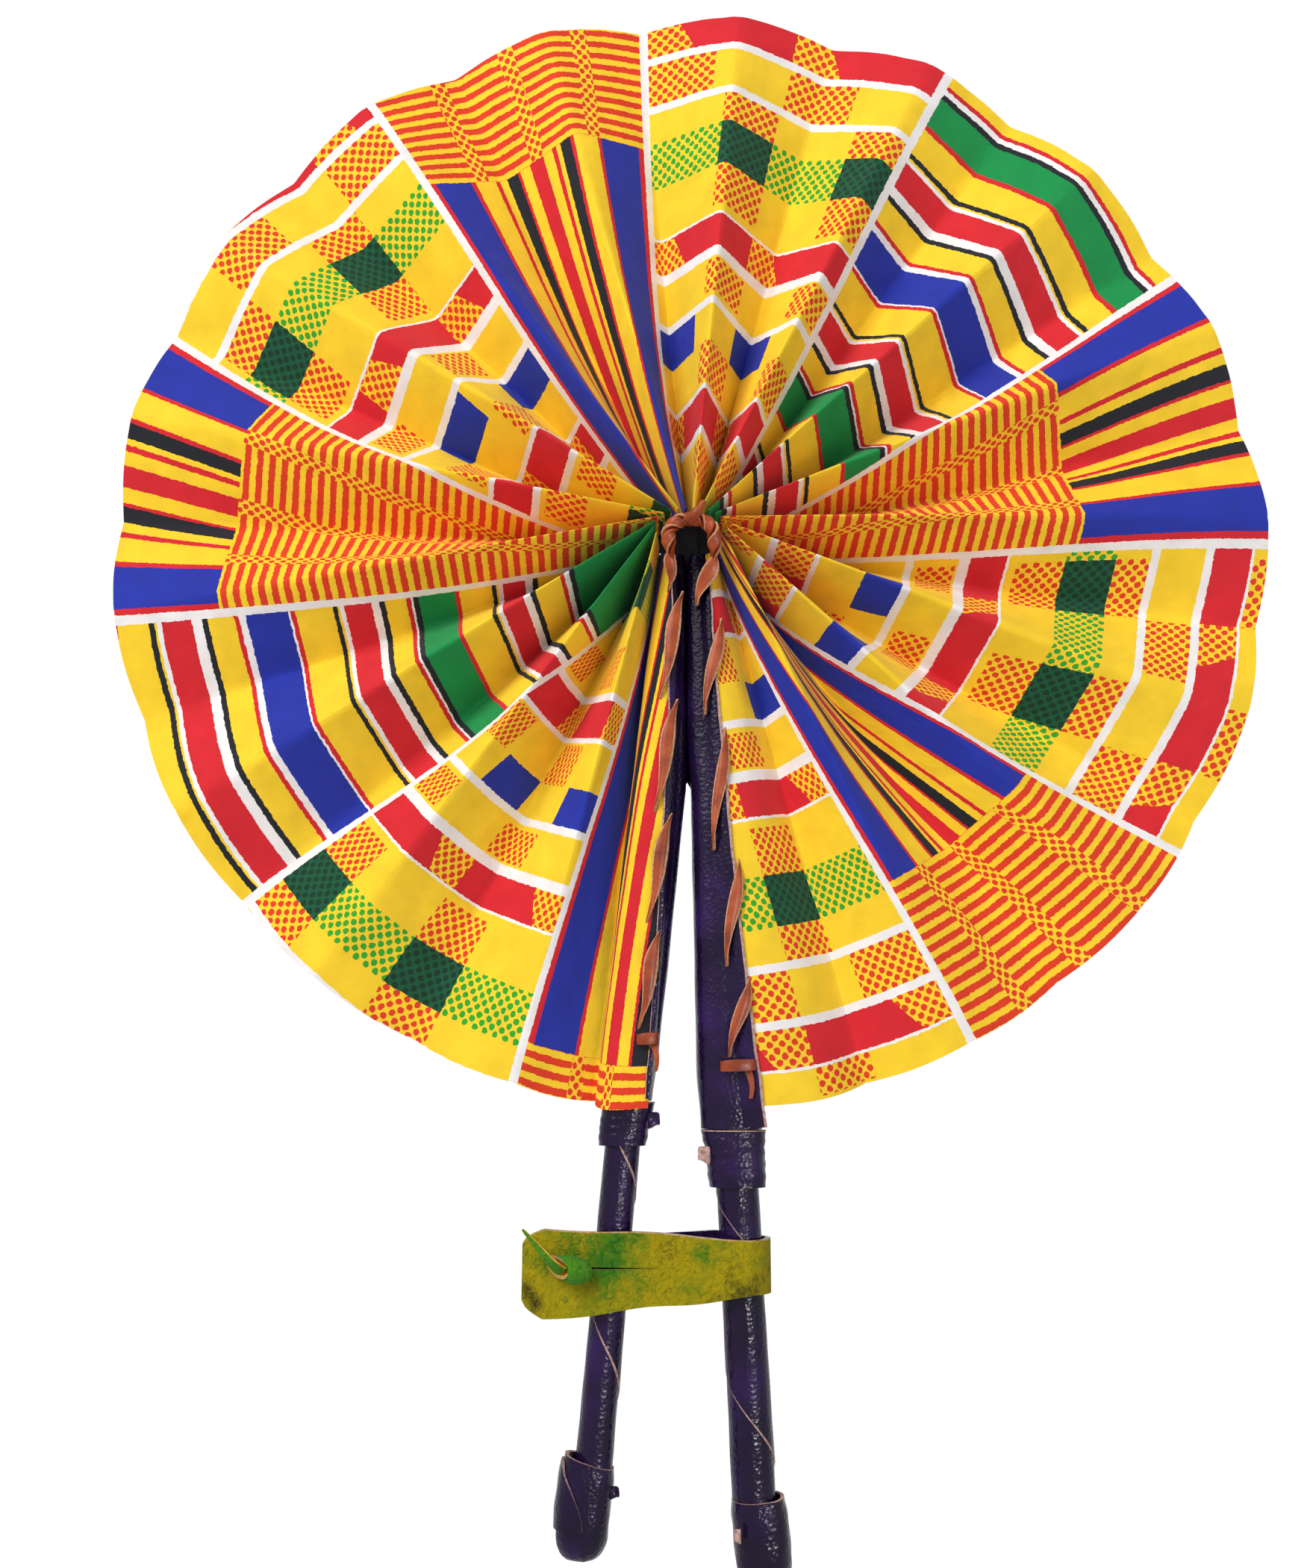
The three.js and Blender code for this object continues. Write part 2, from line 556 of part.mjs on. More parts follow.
for (const [side, handle] of [['fixed', fixedHandle], ['swing', swingHandle]]) {
  add(`${side}_stick`, stickSolid(handle, 0, handle.top, handle.foot), wood);
  add(`${side}_sleeve`, sleeveSolid(handle), leather);
  add(`${side}_collar`, collarSolid(handle), leather);
  add(`${side}_wrap`, wrapSolid(handle), leather);
  add(`${side}_end_cap`, capSolid(handle), leather);
  add(`${side}_lacing`, lacingSolid(handle), tanLace);
  add(`${side}_lace_keeper`, keeperSolid(handle), tanLace);
}
add('hub_lace', hubLaceSolid(), tanLace);
add('strap_band', bandSolid(), suede);
add('strap_flap', flapSolid(), suede);
add('strap_back', backRunSolid(), suede);
add('strap_button', buttonSolid(), knotLeather);
for (let k = 1; k <= panelCount; k += 1) {
  add(`cloth_panel_${String(k).padStart(2, '0')}`, panelSolid(k), cotton);
}

export default fan;
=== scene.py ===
import math
from functools import partial

import bmesh
import bpy
from mathutils import Matrix, Vector, geometry, noise


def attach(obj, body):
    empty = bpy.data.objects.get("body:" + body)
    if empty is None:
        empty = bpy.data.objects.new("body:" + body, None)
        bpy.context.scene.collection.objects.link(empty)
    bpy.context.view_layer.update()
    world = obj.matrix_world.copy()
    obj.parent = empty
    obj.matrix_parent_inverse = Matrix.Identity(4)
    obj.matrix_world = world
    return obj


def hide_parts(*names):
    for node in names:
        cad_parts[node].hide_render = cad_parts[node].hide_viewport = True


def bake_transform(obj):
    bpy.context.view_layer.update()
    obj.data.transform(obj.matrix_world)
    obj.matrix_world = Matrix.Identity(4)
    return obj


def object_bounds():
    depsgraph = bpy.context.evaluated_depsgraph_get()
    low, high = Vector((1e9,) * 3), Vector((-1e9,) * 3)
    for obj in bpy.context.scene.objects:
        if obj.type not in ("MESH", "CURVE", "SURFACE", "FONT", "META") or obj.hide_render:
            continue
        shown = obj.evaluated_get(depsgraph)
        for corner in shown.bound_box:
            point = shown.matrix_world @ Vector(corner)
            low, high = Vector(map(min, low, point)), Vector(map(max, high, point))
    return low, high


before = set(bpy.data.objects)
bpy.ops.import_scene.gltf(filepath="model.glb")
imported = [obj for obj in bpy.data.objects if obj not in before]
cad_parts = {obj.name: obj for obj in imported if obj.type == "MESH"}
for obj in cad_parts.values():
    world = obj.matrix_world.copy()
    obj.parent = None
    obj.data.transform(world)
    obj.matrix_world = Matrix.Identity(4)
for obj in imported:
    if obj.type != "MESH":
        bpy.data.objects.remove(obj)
cadBox = [list(corner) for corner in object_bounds()]
print("packed frame loaded")

# Shapes are laid out in millimetres round the hub: x to the right, y away from the viewer, drop downward.
# The hub sits above the hand grip on the fixed stick, which is the frame's origin.
gripDrop = 212.0
leafOuterRadius = 151.0
clearance = 0.3

# A sleeve's stations are drop, middle, half width and half depth.
# A stitch is the x and drop of its start, those of its end, and its width.
fixedHandle = {
    "name": "fixed", "side": 1, "axisAtHub": 3.35, "lean": 2.72, "footRadius": 4.1,
    "sleeve": [(9.5, 3.2, 1.9, 2.8), (35.0, 5.2, 4.0, 4.2), (80.0, 7.4, 6.1, 5.6), (155.5, 10.4, 7.6, 5.6)],
    "fuller": 0.9, "tongueDepth": 3.2,
    "collarFoot": 169.0, "collarHalfWidth": 7.0, "collarHalfDepth": 6.3,
    "cap": {"top": 238.0, "foot": 256.5, "halfWidth": 6.5, "halfDepth": 5.9, "lean": 1.3, "skew": 0.07},
    "edge": {"hubX": 4.2, "hubDrop": 10.5, "rimX": 16.8, "bow": -1.4,
             "corner": 0.62, "swellX": 0.0, "swellY": 1.0},
    "stitches": [(6.6, 11.3, 1.9, 24.5, 4.0), (8.1, 28.0, 3.8, 53.8, 3.2), (8.8, 57.0, 5.9, 88.5, 2.8),
                 (11.9, 90.5, 8.9, 117.0, 3.0), (14.2, 119.5, 9.4, 138.6, 3.0)],
    "keeper": {"x": 11.4, "drop": 140.6, "reach": 3.9}, "wrapTurnDrop": 170.0, "wrapPitch": 40.2,
}
swingHandle = {
    "name": "swing", "side": -1, "axisAtHub": -3.1, "lean": -4.75, "footRadius": 3.3,
    "sleeve": [(9.5, -3.2, 1.9, 2.8), (35.0, -4.9, 4.3, 3.9), (72.0, -7.2, 6.4, 4.7),
               (149.0, -14.9, 6.1, 4.9)],
    "fuller": 0.0, "tongueDepth": 2.0,
    "collarFoot": 159.5, "collarHalfWidth": 5.9, "collarHalfDepth": 5.4,
    "cap": {"top": 230.5, "foot": 251.5, "halfWidth": 6.1, "halfDepth": 5.2, "lean": -1.5, "skew": -0.3},
    "edge": {"hubX": -3.6, "hubDrop": 10.5, "rimX": -10.2, "bow": 1.0,
             "corner": 1.0, "swellX": -2.2, "swellY": 2.2},
    "stitches": [(-4.3, 9.6, -5.4, 20.5, 3.0), (-1.7, 20.5, -7.6, 49.5, 3.5), (-3.1, 49.5, -8.9, 78.9, 3.4),
                 (-4.6, 79.0, -10.7, 106.5, 3.3), (-7.2, 107.5, -12.6, 132.2, 3.3)],
    "keeper": {"x": -10.3, "drop": 134.4, "reach": 2.3}, "wrapTurnDrop": 148.9, "wrapPitch": 44.0,
}
handles = (fixedHandle, swingHandle)
gripX = fixedHandle["axisAtHub"] + gripDrop * math.tan(math.radians(fixedHandle["lean"]))


def toRow(p):
    return Vector((p[0] - gripX, p[1], p[2] + gripDrop)) / 1000


def lerp(a, b, t):
    return a + (b - a) * t


def clamp(v, low=0.0, high=1.0):
    return max(low, min(high, v))


def ease(t):
    t = clamp(t)
    return t * t * (3 - 2 * t)


def uneven(x, y, z):
    return noise.noise(Vector((x, y, z)))


def addObject(name, data):
    item = bpy.data.objects.new(name, data)
    bpy.context.scene.collection.objects.link(item)
    return item


# camera
view = {"place": (-7.27, -351.08, -142.57), "yaw": -0.305, "pitch": 11.595, "roll": 0.212, "lens": 32.4,
        "sensor": 36.0, "nearest": 0.01}


def placeCamera():
    yaw, pitch, roll = (math.radians(view[k]) for k in ("yaw", "pitch", "roll"))
    forward = Vector((math.sin(yaw) * math.cos(pitch), math.cos(yaw) * math.cos(pitch), math.sin(pitch)))
    right = Vector((math.cos(yaw), -math.sin(yaw), 0))
    up = right.cross(forward)
    turnedRight = right * math.cos(roll) + up * math.sin(roll)
    turnedUp = up * math.cos(roll) - right * math.sin(roll)
    data = bpy.data.cameras.new("camera")
    data.lens = view["lens"]
    data.sensor_width = view["sensor"]
    data.clip_start = view["nearest"]
    camera = addObject("camera", data)
    turn = Matrix((turnedRight, turnedUp, -forward)).transposed().to_4x4()
    camera.matrix_world = Matrix.Translation(toRow(view["place"])) @ turn
    bpy.context.scene.camera = camera


placeCamera()
print("camera placed")


# materials
def hexColor(code):
    def toLinear(c):
        return c / 12.92 if c <= 0.04045 else ((c + 0.055) / 1.055) ** 2.4
    return tuple(toLinear(int(code[i:i + 2], 16) / 255) for i in (1, 3, 5)) + (1.0,)


def addNode(tree, kind, inputs=(), out=0, **settings):
    node = tree.nodes.new(kind)
    for key, value in settings.items():
        setattr(node, key, value)
    for key, value in (inputs.items() if isinstance(inputs, dict) else enumerate(inputs)):
        if isinstance(value, bpy.types.NodeSocket):
            tree.links.new(value, node.inputs[key])
        else:
            node.inputs[key].default_value = value
    return node.outputs[out]


def newMaterial(name, **values):
    material = bpy.data.materials.new(name)
    material.use_nodes = True
    shader = material.node_tree.nodes["Principled BSDF"]
    for key, value in values.items():
        shader.inputs[key.replace("_", " ")].default_value = value
    return material, material.node_tree, shader


def roughen(tree, shader, height, strength, distance):
    bump = addNode(tree, "ShaderNodeBump", {"Strength": strength, "Distance": distance, "Height": height})
    tree.links.new(bump, shader.inputs["Normal"])


def paintStops(socket, stops, span, interpolation="CONSTANT"):
    ramp = socket.node.color_ramp
    ramp.interpolation = interpolation
    while len(ramp.elements) < len(stops):
        ramp.elements.new(1.0)
    for element, (place, color) in zip(ramp.elements, stops):
        element.position = clamp(place / span)
        element.color = color


def toneRamp(tree, amount, stops):
    tone = addNode(tree, "ShaderNodeValToRGB", (amount,))
    paintStops(tone, [(place, hexColor(code)) for place, code in stops], 1.0, "LINEAR")
    return tone


inks = {name: hexColor(code) for name, code in {
    "yellow": "#F8CE2A", "red": "#D3212B", "dotRed": "#DE3A1C", "blue": "#1F2F9E", "green": "#0F8B45",
    "darkGreen": "#0A5232", "deepGreen": "#07301F", "leafGreen": "#33A02B", "black": "#191B22",
    "white": "#F1ECEA",
}.items()}

# The printed cloth: places are in millimetres, across a column and down its length
printed = {
    "columnWidth": 82.0, "lineHalfWidth": 1.25,
    "dotPitch": 3.0, "dotRadius": 0.8, "raggedScale": 0.9, "raggedReach": 0.75,
    "fineStripePitch": 3.3, "fineStripeShare": 0.52, "fineDotsStart": 9.2, "fineDotsPitch": 21.5,
    "fineDotsMiddle": 10.9, "fineDotsHalfWidth": 2.3,
    "blockEnd": 43.0, "stripeEnd": 52.0, "bandHalf": 75.0,
    "greenRow": 41.0, "groundStart": 45.0, "groundLength": 184.0, "nearCellStart": 24.2,
    "farCellMiddle": 10.4, "farCellHalfWidth": 9.9, "redBandStart": 11.5, "redBandPitch": 61.5,
    "gapGrowth": 0.55, "gapLeast": 9.0, "gapMost": 14.0,
    "weavePitch": 0.7, "weaveShade": 0.035, "weaveHeight": 0.02,
    "stripes": [
        (0, "red"), (2.6, "blue"), (15.5, "red"), (17, "yellow"), (24.5, "red"), (26, "yellow"),
        (29, "black"), (33, "red"), (34.2, "yellow"), (38, "red"), (43.5, "yellow"), (47, "red"),
        (48.5, "yellow"), (50, "black"), (54, "red"), (55.2, "yellow"), (63.5, "red"), (65, "blue"),
        (78.5, "red")],
    "bands": [
        (0, "yellow"), (11, "red"), (12.2, "white"), (13.6, "black"), (15, "green"), (24, "red"),
        (25.2, "yellow"), (33.3, "black"), (34.7, "yellow"), (35.2, "white"), (36.6, "red"), (44, "white"),
        (46.6, "black"),
        (48.2, "yellow"), (55, "red"), (56.2, "white"), (58, "blue"), (68.6, "white"), (69.3, "red"),
        (70.4, "yellow"), (80, "black"), (81.2, "yellow"), (81.8, "white"), (83, "red"), (90, "white"),
        (92.2, "black"), (93.6, "yellow"), (99.2, "red"), (100.3, "white"), (101, "black"), (102.5, "green"),
        (112, "red"), (113.1, "yellow"), (122, "black"), (123.2, "yellow"), (123.8, "white"), (125, "red"),
        (131.2, "white"), (133.2, "black"), (134.6, "yellow"), (142, "red"), (143.2, "white"),
        (144.5, "black"), (146, "green")],
    # ground of a dotted column, down from groundStart above its green row
    "ground": [
        (0, "yellow"), (10.5, "white"), (11.5, "red"), (20.5, "white"), (22.5, "yellow"), (34, "white"),
        (36, "yellow"), (72, "white"), (73, "red"), (82.5, "white"), (85, "yellow"), (96.5, "white"),
        (98.5, "yellow"), (121, "white"), (122.5, "red"), (132.5, "white"), (134.5, "yellow")],
    # what stands on that ground: 1 dots in the near cells, 2 dots in the far cells, 3 the green row,
    # 4 a red band with dotted gaps, 5 blue blocks
    "marks": [
        (0, 0), (4, 1), (10.5, 0), (11.5, 4), (20.5, 0), (23, 2), (34, 0), (36, 1), (45, 3), (58, 1), (70, 0),
        (73, 4), (82.5, 0), (86, 1), (95.5, 0), (99, 5), (109, 1), (120.5, 0), (122.5, 4), (132.5, 0),
        (136, 1), (147, 0), (158, 3), (171, 1)],
}


def makePrintedCotton():
    # Wax-printed plain weave: matt, saturated inks with slightly ragged edges on a close thread texture
    material, tree, shader = newMaterial("printed plain-weave cotton", Roughness=0.82, Sheen_Weight=0.06,
                                         Specular_IOR_Level=0.22)
    add = partial(addNode, tree)
    calc, mix, vec, ramp = "ShaderNodeMath", "ShaderNodeMix", "ShaderNodeVectorMath", "ShaderNodeValToRGB"
    place = add("ShaderNodeUVMap", uv_map="print")
    inMm = add(vec, {0: place, 3: 1000.0}, operation="SCALE")
    ragged = add("ShaderNodeTexNoise", {"Vector": inMm, "Scale": printed["raggedScale"], "Detail": 2.0},
                 out=1)
    shifted = add(vec, {0: ragged, 1: (0.5, 0.5, 0.5)}, operation="SUBTRACT")
    ragged = add(vec, {0: shifted, 3: printed["raggedReach"]}, operation="SCALE")
    place = add(vec, {0: inMm, 1: ragged}, operation="ADD")
    acrossAll = add("ShaderNodeSeparateXYZ", (place,))
    down = acrossAll.node.outputs[1]
    width = printed["columnWidth"]
    column = add(calc, (add(calc, (acrossAll, width), operation="DIVIDE"),), operation="FLOOR")
    x = add(calc, (acrossAll, width), operation="FLOORED_MODULO")
    kind = add(calc, (column, 5.0), operation="FLOORED_MODULO")
    isNear, isDotA, isCross, isFar, isDotB = (
        add(calc, (kind, float(i), 0.1), operation="COMPARE") for i in range(5))

    # dots stand in two lattices, half a pitch apart
    grid = add(vec, {0: place, 3: 1 / printed["dotPitch"]}, operation="SCALE")
    nearest = []
    for half in (0.0, 0.5):
        moved = add(vec, {0: grid, 1: (half, half, 0)}, operation="ADD")
        cell = add(vec, {0: moved}, operation="FRACTION")
        centred = add(vec, {0: cell, 1: (0.5, 0.5, 0)}, operation="SUBTRACT")
        flat = add(vec, {0: centred, 1: (1, 1, 0)}, operation="MULTIPLY")
        nearest.append(add(vec, {0: flat}, out=1, operation="LENGTH"))
    toDot = add(calc, nearest, operation="MINIMUM")
    dots = add(calc, (toDot, printed["dotRadius"] / printed["dotPitch"]), operation="LESS_THAN")

    # fine cross stripes with three dotted columns
    fine = add(calc, (down, printed["fineStripePitch"]), operation="FLOORED_MODULO")
    fine = add(calc, (fine, printed["fineStripePitch"] * printed["fineStripeShare"]), operation="LESS_THAN")
    thirds = add(calc, (x, printed["fineDotsStart"]), operation="SUBTRACT")
    thirds = add(calc, (thirds, printed["fineDotsPitch"]), operation="FLOORED_MODULO")
    thirds = add(calc, (thirds, printed["fineDotsMiddle"], printed["fineDotsHalfWidth"]),
                 operation="COMPARE")
    fineRed = add(mix, {0: thirds, 2: fine, 3: dots}, out=0, data_type="FLOAT")
    fineColor = add(mix, {0: fineRed, 6: inks["yellow"], 7: inks["dotRed"]}, out=2, data_type="RGBA")

    # lengthwise stripes
    lengthwise = add(ramp, (add(calc, (x, width), operation="DIVIDE"),))
    paintStops(lengthwise, [(p, inks[c]) for p, c in printed["stripes"]], width)
    above = add(calc, (down, printed["blockEnd"]), operation="LESS_THAN")
    below = add(calc, (down, printed["stripeEnd"]), operation="GREATER_THAN")
    fineHere = add(calc, (isNear, above), operation="MULTIPLY")
    fineHere = add(calc, (isFar, below, fineHere), operation="MULTIPLY_ADD")
    color = add(mix, {0: fineHere, 6: lengthwise, 7: fineColor}, out=2, data_type="RGBA")

    # crosswise bands; one ramp holds too few stops for all of them
    half = printed["bandHalf"]
    bandColors = []
    for start in (0.0, half):
        part = [(p - start, inks[c]) for p, c in printed["bands"] if start <= p < start + half]
        share = add(calc, (add(calc, (down, start), operation="SUBTRACT"), half), operation="DIVIDE")
        bandColors.append(add(ramp, (share,)))
        paintStops(bandColors[-1], [(0, inks["yellow"])] + part if part[0][0] > 0 else part, half)
    deeper = add(calc, (down, half), operation="GREATER_THAN")
    bands = add(mix, {0: deeper, 6: bandColors[0], 7: bandColors[1]}, out=2, data_type="RGBA")
    color = add(mix, {0: isCross, 6: color, 7: bands}, out=2, data_type="RGBA")

    # dotted columns: four cells across, offset by one cell in every second of these columns
    reach = printed["groundLength"]
    local = add(calc, (down, printed["greenRow"] - printed["groundStart"]), operation="SUBTRACT")
    share = add(calc, (local, reach), operation="DIVIDE")
    ground = add(ramp, (share,))
    paintStops(ground, [(p, inks[c]) for p, c in printed["ground"]], reach)
    marks = add(ramp, (share,))
    paintStops(marks, [(p, (v / 10, v / 10, v / 10, 1)) for p, v in printed["marks"]], reach)
    level = add("ShaderNodeSeparateColor", (marks,))
    level = add(calc, (level, 10.0), operation="MULTIPLY")
    offsetX = add(calc, (isDotB, width / 4, x), operation="MULTIPLY_ADD")
    cell = add(calc, (offsetX, width / 2), operation="FLOORED_MODULO")
    nearCell = add(calc, (cell, printed["nearCellStart"]), operation="GREATER_THAN")
    farCell = add(calc, (cell, printed["farCellMiddle"], printed["farCellHalfWidth"]), operation="COMPARE")
    intoBand = add(calc, (local, printed["redBandStart"]), operation="SUBTRACT")
    intoBand = add(calc, (intoBand, printed["redBandPitch"]), operation="FLOORED_MODULO")
    gapWidth = add(calc, (intoBand, printed["gapGrowth"], printed["gapLeast"]), operation="MULTIPLY_ADD")
    gapWidth = add(calc, (gapWidth, printed["gapMost"]), operation="MINIMUM")
    bandGap = add(calc, (cell, gapWidth), operation="LESS_THAN")
    is1, is2, is3, is4, is5 = (
        add(calc, (level, float(i), 0.4), operation="COMPARE") for i in range(1, 6))
    redDots = add(calc, (add(calc, (is1, nearCell), operation="MULTIPLY"),
                         add(calc, (is2, farCell), operation="MULTIPLY")), operation="ADD")
    redDots = add(calc, (redDots, dots), operation="MULTIPLY")
    dotted = add(mix, {0: redDots, 6: ground, 7: inks["dotRed"]}, out=2, data_type="RGBA")
    gapColor = add(mix, {0: dots, 6: inks["yellow"], 7: inks["dotRed"]}, out=2, data_type="RGBA")
    gapHere = add(calc, (is4, bandGap), operation="MULTIPLY")
    dotted = add(mix, {0: gapHere, 6: dotted, 7: gapColor}, out=2, data_type="RGBA")
    lightGreen = add(mix, {0: dots, 6: inks["yellow"], 7: inks["leafGreen"]}, out=2, data_type="RGBA")
    deepGreen = add(mix, {0: dots, 6: inks["darkGreen"], 7: inks["deepGreen"]}, out=2, data_type="RGBA")
    greenRow = add(mix, {0: nearCell, 6: lightGreen, 7: deepGreen}, out=2, data_type="RGBA")
    dotted = add(mix, {0: is3, 6: dotted, 7: greenRow}, out=2, data_type="RGBA")
    blueHere = add(calc, (is5, farCell), operation="MULTIPLY")
    dotted = add(mix, {0: blueHere, 6: dotted, 7: inks["blue"]}, out=2, data_type="RGBA")
    isDots = add(calc, (isDotA, isDotB), operation="ADD")
    color = add(mix, {0: isDots, 6: color, 7: dotted}, out=2, data_type="RGBA")

    # white line between columns
    fromMiddle = add(calc, (add(calc, (x, width / 2), operation="SUBTRACT"),), operation="ABSOLUTE")
    line = add(calc, (fromMiddle, width / 2 - printed["lineHalfWidth"]), operation="GREATER_THAN")
    color = add(mix, {0: line, 6: color, 7: inks["white"]}, out=2, data_type="RGBA")

    # ink lies unevenly; threads are drawn about twice as coarse as they are, so that they show
    mottle = add("ShaderNodeTexNoise", {"Vector": inMm, "Scale": 0.12, "Detail": 4.0})
    mottle = add("ShaderNodeMapRange", (mottle, 0.3, 0.7, 0.9, 1.05))
    weave = add(vec, {0: inMm, 3: 2 * math.pi / printed["weavePitch"]}, operation="SCALE")
    weave = add(vec, {0: weave}, operation="SINE")
    weave = add("ShaderNodeSeparateXYZ", (weave,))
    threads = add(calc, (weave, weave.node.outputs[1]), operation="MULTIPLY")
    shade = add(calc, (threads, printed["weaveShade"], mottle), operation="MULTIPLY_ADD")
    color = add(vec, {0: color, 3: shade}, operation="SCALE")
    tree.links.new(color, shader.inputs["Base Color"])
    wrinkles = add("ShaderNodeTexNoise", {"Vector": inMm, "Scale": 0.16, "Detail": 3.0})
    height = add(calc, (threads, printed["weaveHeight"], wrinkles), operation="MULTIPLY_ADD")
    roughen(tree, shader, height, 0.35, 0.0012)
    return material


# Glaze of the purple leather; between two heights in metres above the hand grip its colour and gloss are
# dimmed toward the hub, as painted shade
glaze = {"gloss": 0.16, "roughness": (0.19, 0.3), "hubShadeHeights": (0.142, 0.2), "brightnessInHubShade": 0.25}


def makeLeather():
    # Dyed and glazed goat leather: dark, with a fine pebbled grain that breaks up a soft gloss
    material, tree, shader = newMaterial("glazed aubergine goat leather")
    add = partial(addNode, tree)
    place = add("ShaderNodeTexCoord", out=3)
    grain = add("ShaderNodeTexVoronoi", {"Vector": place, "Scale": 1000 / 0.9}, feature="F1")
    streak = add("ShaderNodeMapping", {"Vector": place, "Scale": (900.0, 900.0, 160.0)})
    streak = add("ShaderNodeTexNoise", {"Vector": streak, "Scale": 0.5, "Detail": 4.0})
    patches = add("ShaderNodeTexNoise", {"Vector": place, "Scale": 1000 / 14, "Detail": 5.0})
    tone = toneRamp(tree, patches, [(0.3, "#120821"), (0.52, "#1D0D32"), (0.72, "#2D154E")])
    # painted shade: up at the hub the colour is made darker and the gloss weaker, for the shade that falls
    # there
    high = add("ShaderNodeSeparateXYZ", (place,), out=2)
    hubShadeFactor = add("ShaderNodeMapRange", (high, *glaze["hubShadeHeights"], 1.0, glaze["brightnessInHubShade"]))
    tone = add("ShaderNodeHueSaturation", {"Value": hubShadeFactor, "Color": tone})
    gloss = add("ShaderNodeMath", (hubShadeFactor, glaze["gloss"]), operation="MULTIPLY")
    tree.links.new(gloss, shader.inputs["Specular IOR Level"])
    tree.links.new(tone, shader.inputs["Base Color"])
    rough = add("ShaderNodeMapRange", (patches, 0.3, 0.7, *glaze["roughness"]))
    tree.links.new(rough, shader.inputs["Roughness"])
    height = add("ShaderNodeMath", (streak, 0.8, grain), operation="MULTIPLY_ADD")
    roughen(tree, shader, height, 0.5, 0.00022)
    return material


def makeTanLace():
    # Lacing leather, tanned rust brown: uneven in tone, with a fine pebbled face
    material, tree, shader = newMaterial("rust-tan lacing leather", Roughness=0.36, Specular_IOR_Level=0.25)
    add = partial(addNode, tree)
    place = add("ShaderNodeTexCoord", out=3)
    pebble = add("ShaderNodeTexNoise", {"Vector": place, "Scale": 1000 / 1.1, "Detail": 3.0})
    patches = add("ShaderNodeTexNoise", {"Vector": place, "Scale": 1000 / 6, "Detail": 4.0})
    tone = toneRamp(tree, patches, [(0.3, "#7C3015"), (0.55, "#A1451F"), (0.72, "#B65C33")])
    tree.links.new(tone, shader.inputs["Base Color"])
    roughen(tree, shader, pebble, 0.45, 0.0002)
    return material


def makeCutEdge(name, pale, dark):
    # Raw cut edge of leather: undyed, fibrous and quite matt
    material, tree, shader = newMaterial(name, Roughness=0.85, Specular_IOR_Level=0.2)
    add = partial(addNode, tree)
    place = add("ShaderNodeTexCoord", out=3)
    fibres = add("ShaderNodeTexNoise", {"Vector": place, "Scale": 1000 / 0.8, "Detail": 4.0})
    tone = toneRamp(tree, fibres, [(0.32, dark), (0.62, pale)])
    tree.links.new(tone, shader.inputs["Base Color"])
    roughen(tree, shader, fibres, 0.5, 0.0002)
    return material


def makeSuede(name, stops, greenPlace):
    # Suede split, dip-dyed: blotches of olive yellow and green under a short nap, greener round one place
    material, tree, shader = newMaterial(name, Roughness=0.92, Sheen_Weight=0.05, Sheen_Roughness=0.5,
                                         Specular_IOR_Level=0.08)
    add = partial(addNode, tree)
    place = add("ShaderNodeTexCoord", out=3)
    blotch = add("ShaderNodeTexNoise", {"Vector": place, "Scale": 1000 / 15, "Detail": 6.0,
                                        "Roughness": 0.65})
    nap = add("ShaderNodeTexNoise", {"Vector": place, "Scale": 1000 / 1.6, "Detail": 5.0, "Distortion": 1.2})
    dye = add("ShaderNodeVectorMath", {0: place, 1: greenPlace}, out=1, operation="DISTANCE")
    dye = add("ShaderNodeMapRange", (dye, 0.001, 0.012, 0.2, 0.0))
    amount = add("ShaderNodeMath", (blotch, dye), operation="ADD")
    amount = add("ShaderNodeMath", (nap, 0.3, amount), operation="MULTIPLY_ADD")
    amount = add("ShaderNodeMath", (amount, 0.07), operation="SUBTRACT")
    tree.links.new(toneRamp(tree, amount, stops), shader.inputs["Base Color"])
    roughen(tree, shader, nap, 1.0, 0.0011)
    return material


def makeStickWood():
    # Peeled hardwood stick: dry, straight-grained
    material, tree, shader = newMaterial("bare hardwood stick", Roughness=0.65)
    add = partial(addNode, tree)
    place = add("ShaderNodeTexCoord", out=3)
    along = add("ShaderNodeMapping", {"Vector": place, "Scale": (1400.0, 1400.0, 60.0)})
    grain = add("ShaderNodeTexNoise", {"Vector": along, "Scale": 0.6, "Detail": 4.0})
    tone = toneRamp(tree, grain, [(0.35, "#8A6236"), (0.65, "#B98F5C")])
    tree.links.new(tone, shader.inputs["Base Color"])
    roughen(tree, shader, grain, 0.3, 0.0002)
    return material


cotton = makePrintedCotton()
leather = makeLeather()
tanLace = makeTanLace()
tanEdge = makeCutEdge("raw edge of the lace", "#D2A27C", "#A9714C")
leatherEdge = makeCutEdge("raw edge of the purple leather", "#C6A094", "#8A6A68")
# near black throughout: painted shade for the tongues in the hub's middle and the gusset between the sleeves
nearBlackShadeLeather = makeCutEdge("near-black leather painted as shade in the hub", "#0D0A12", "#060409")
suede = makeSuede("olive suede split", [(0.36, "#423A10"), (0.46, "#7C7210"), (0.56, "#A8960F"),
                                        (0.65, "#8F8A12"), (0.76, "#4F7A16"), (0.88, "#226A18")],
                  toRow((-20.5, -7.0, -184.0)))
suedeEdge = makeCutEdge("raw edge of the suede", "#C9A070", "#8E7A35")
knotLeather = makeSuede("rolled green suede", [(0.35, "#5A7F1D"), (0.6, "#568F20"), (0.85, "#3D801D")],
                        toRow((-26.0, -12.0, -188.0)))
knotInside = makeCutEdge("inside of the green roll", "#E3AE2E", "#C08A22")
stickWood = makeStickWood()
print("materials made")


# mesh tools
sharpAngle = 42.0


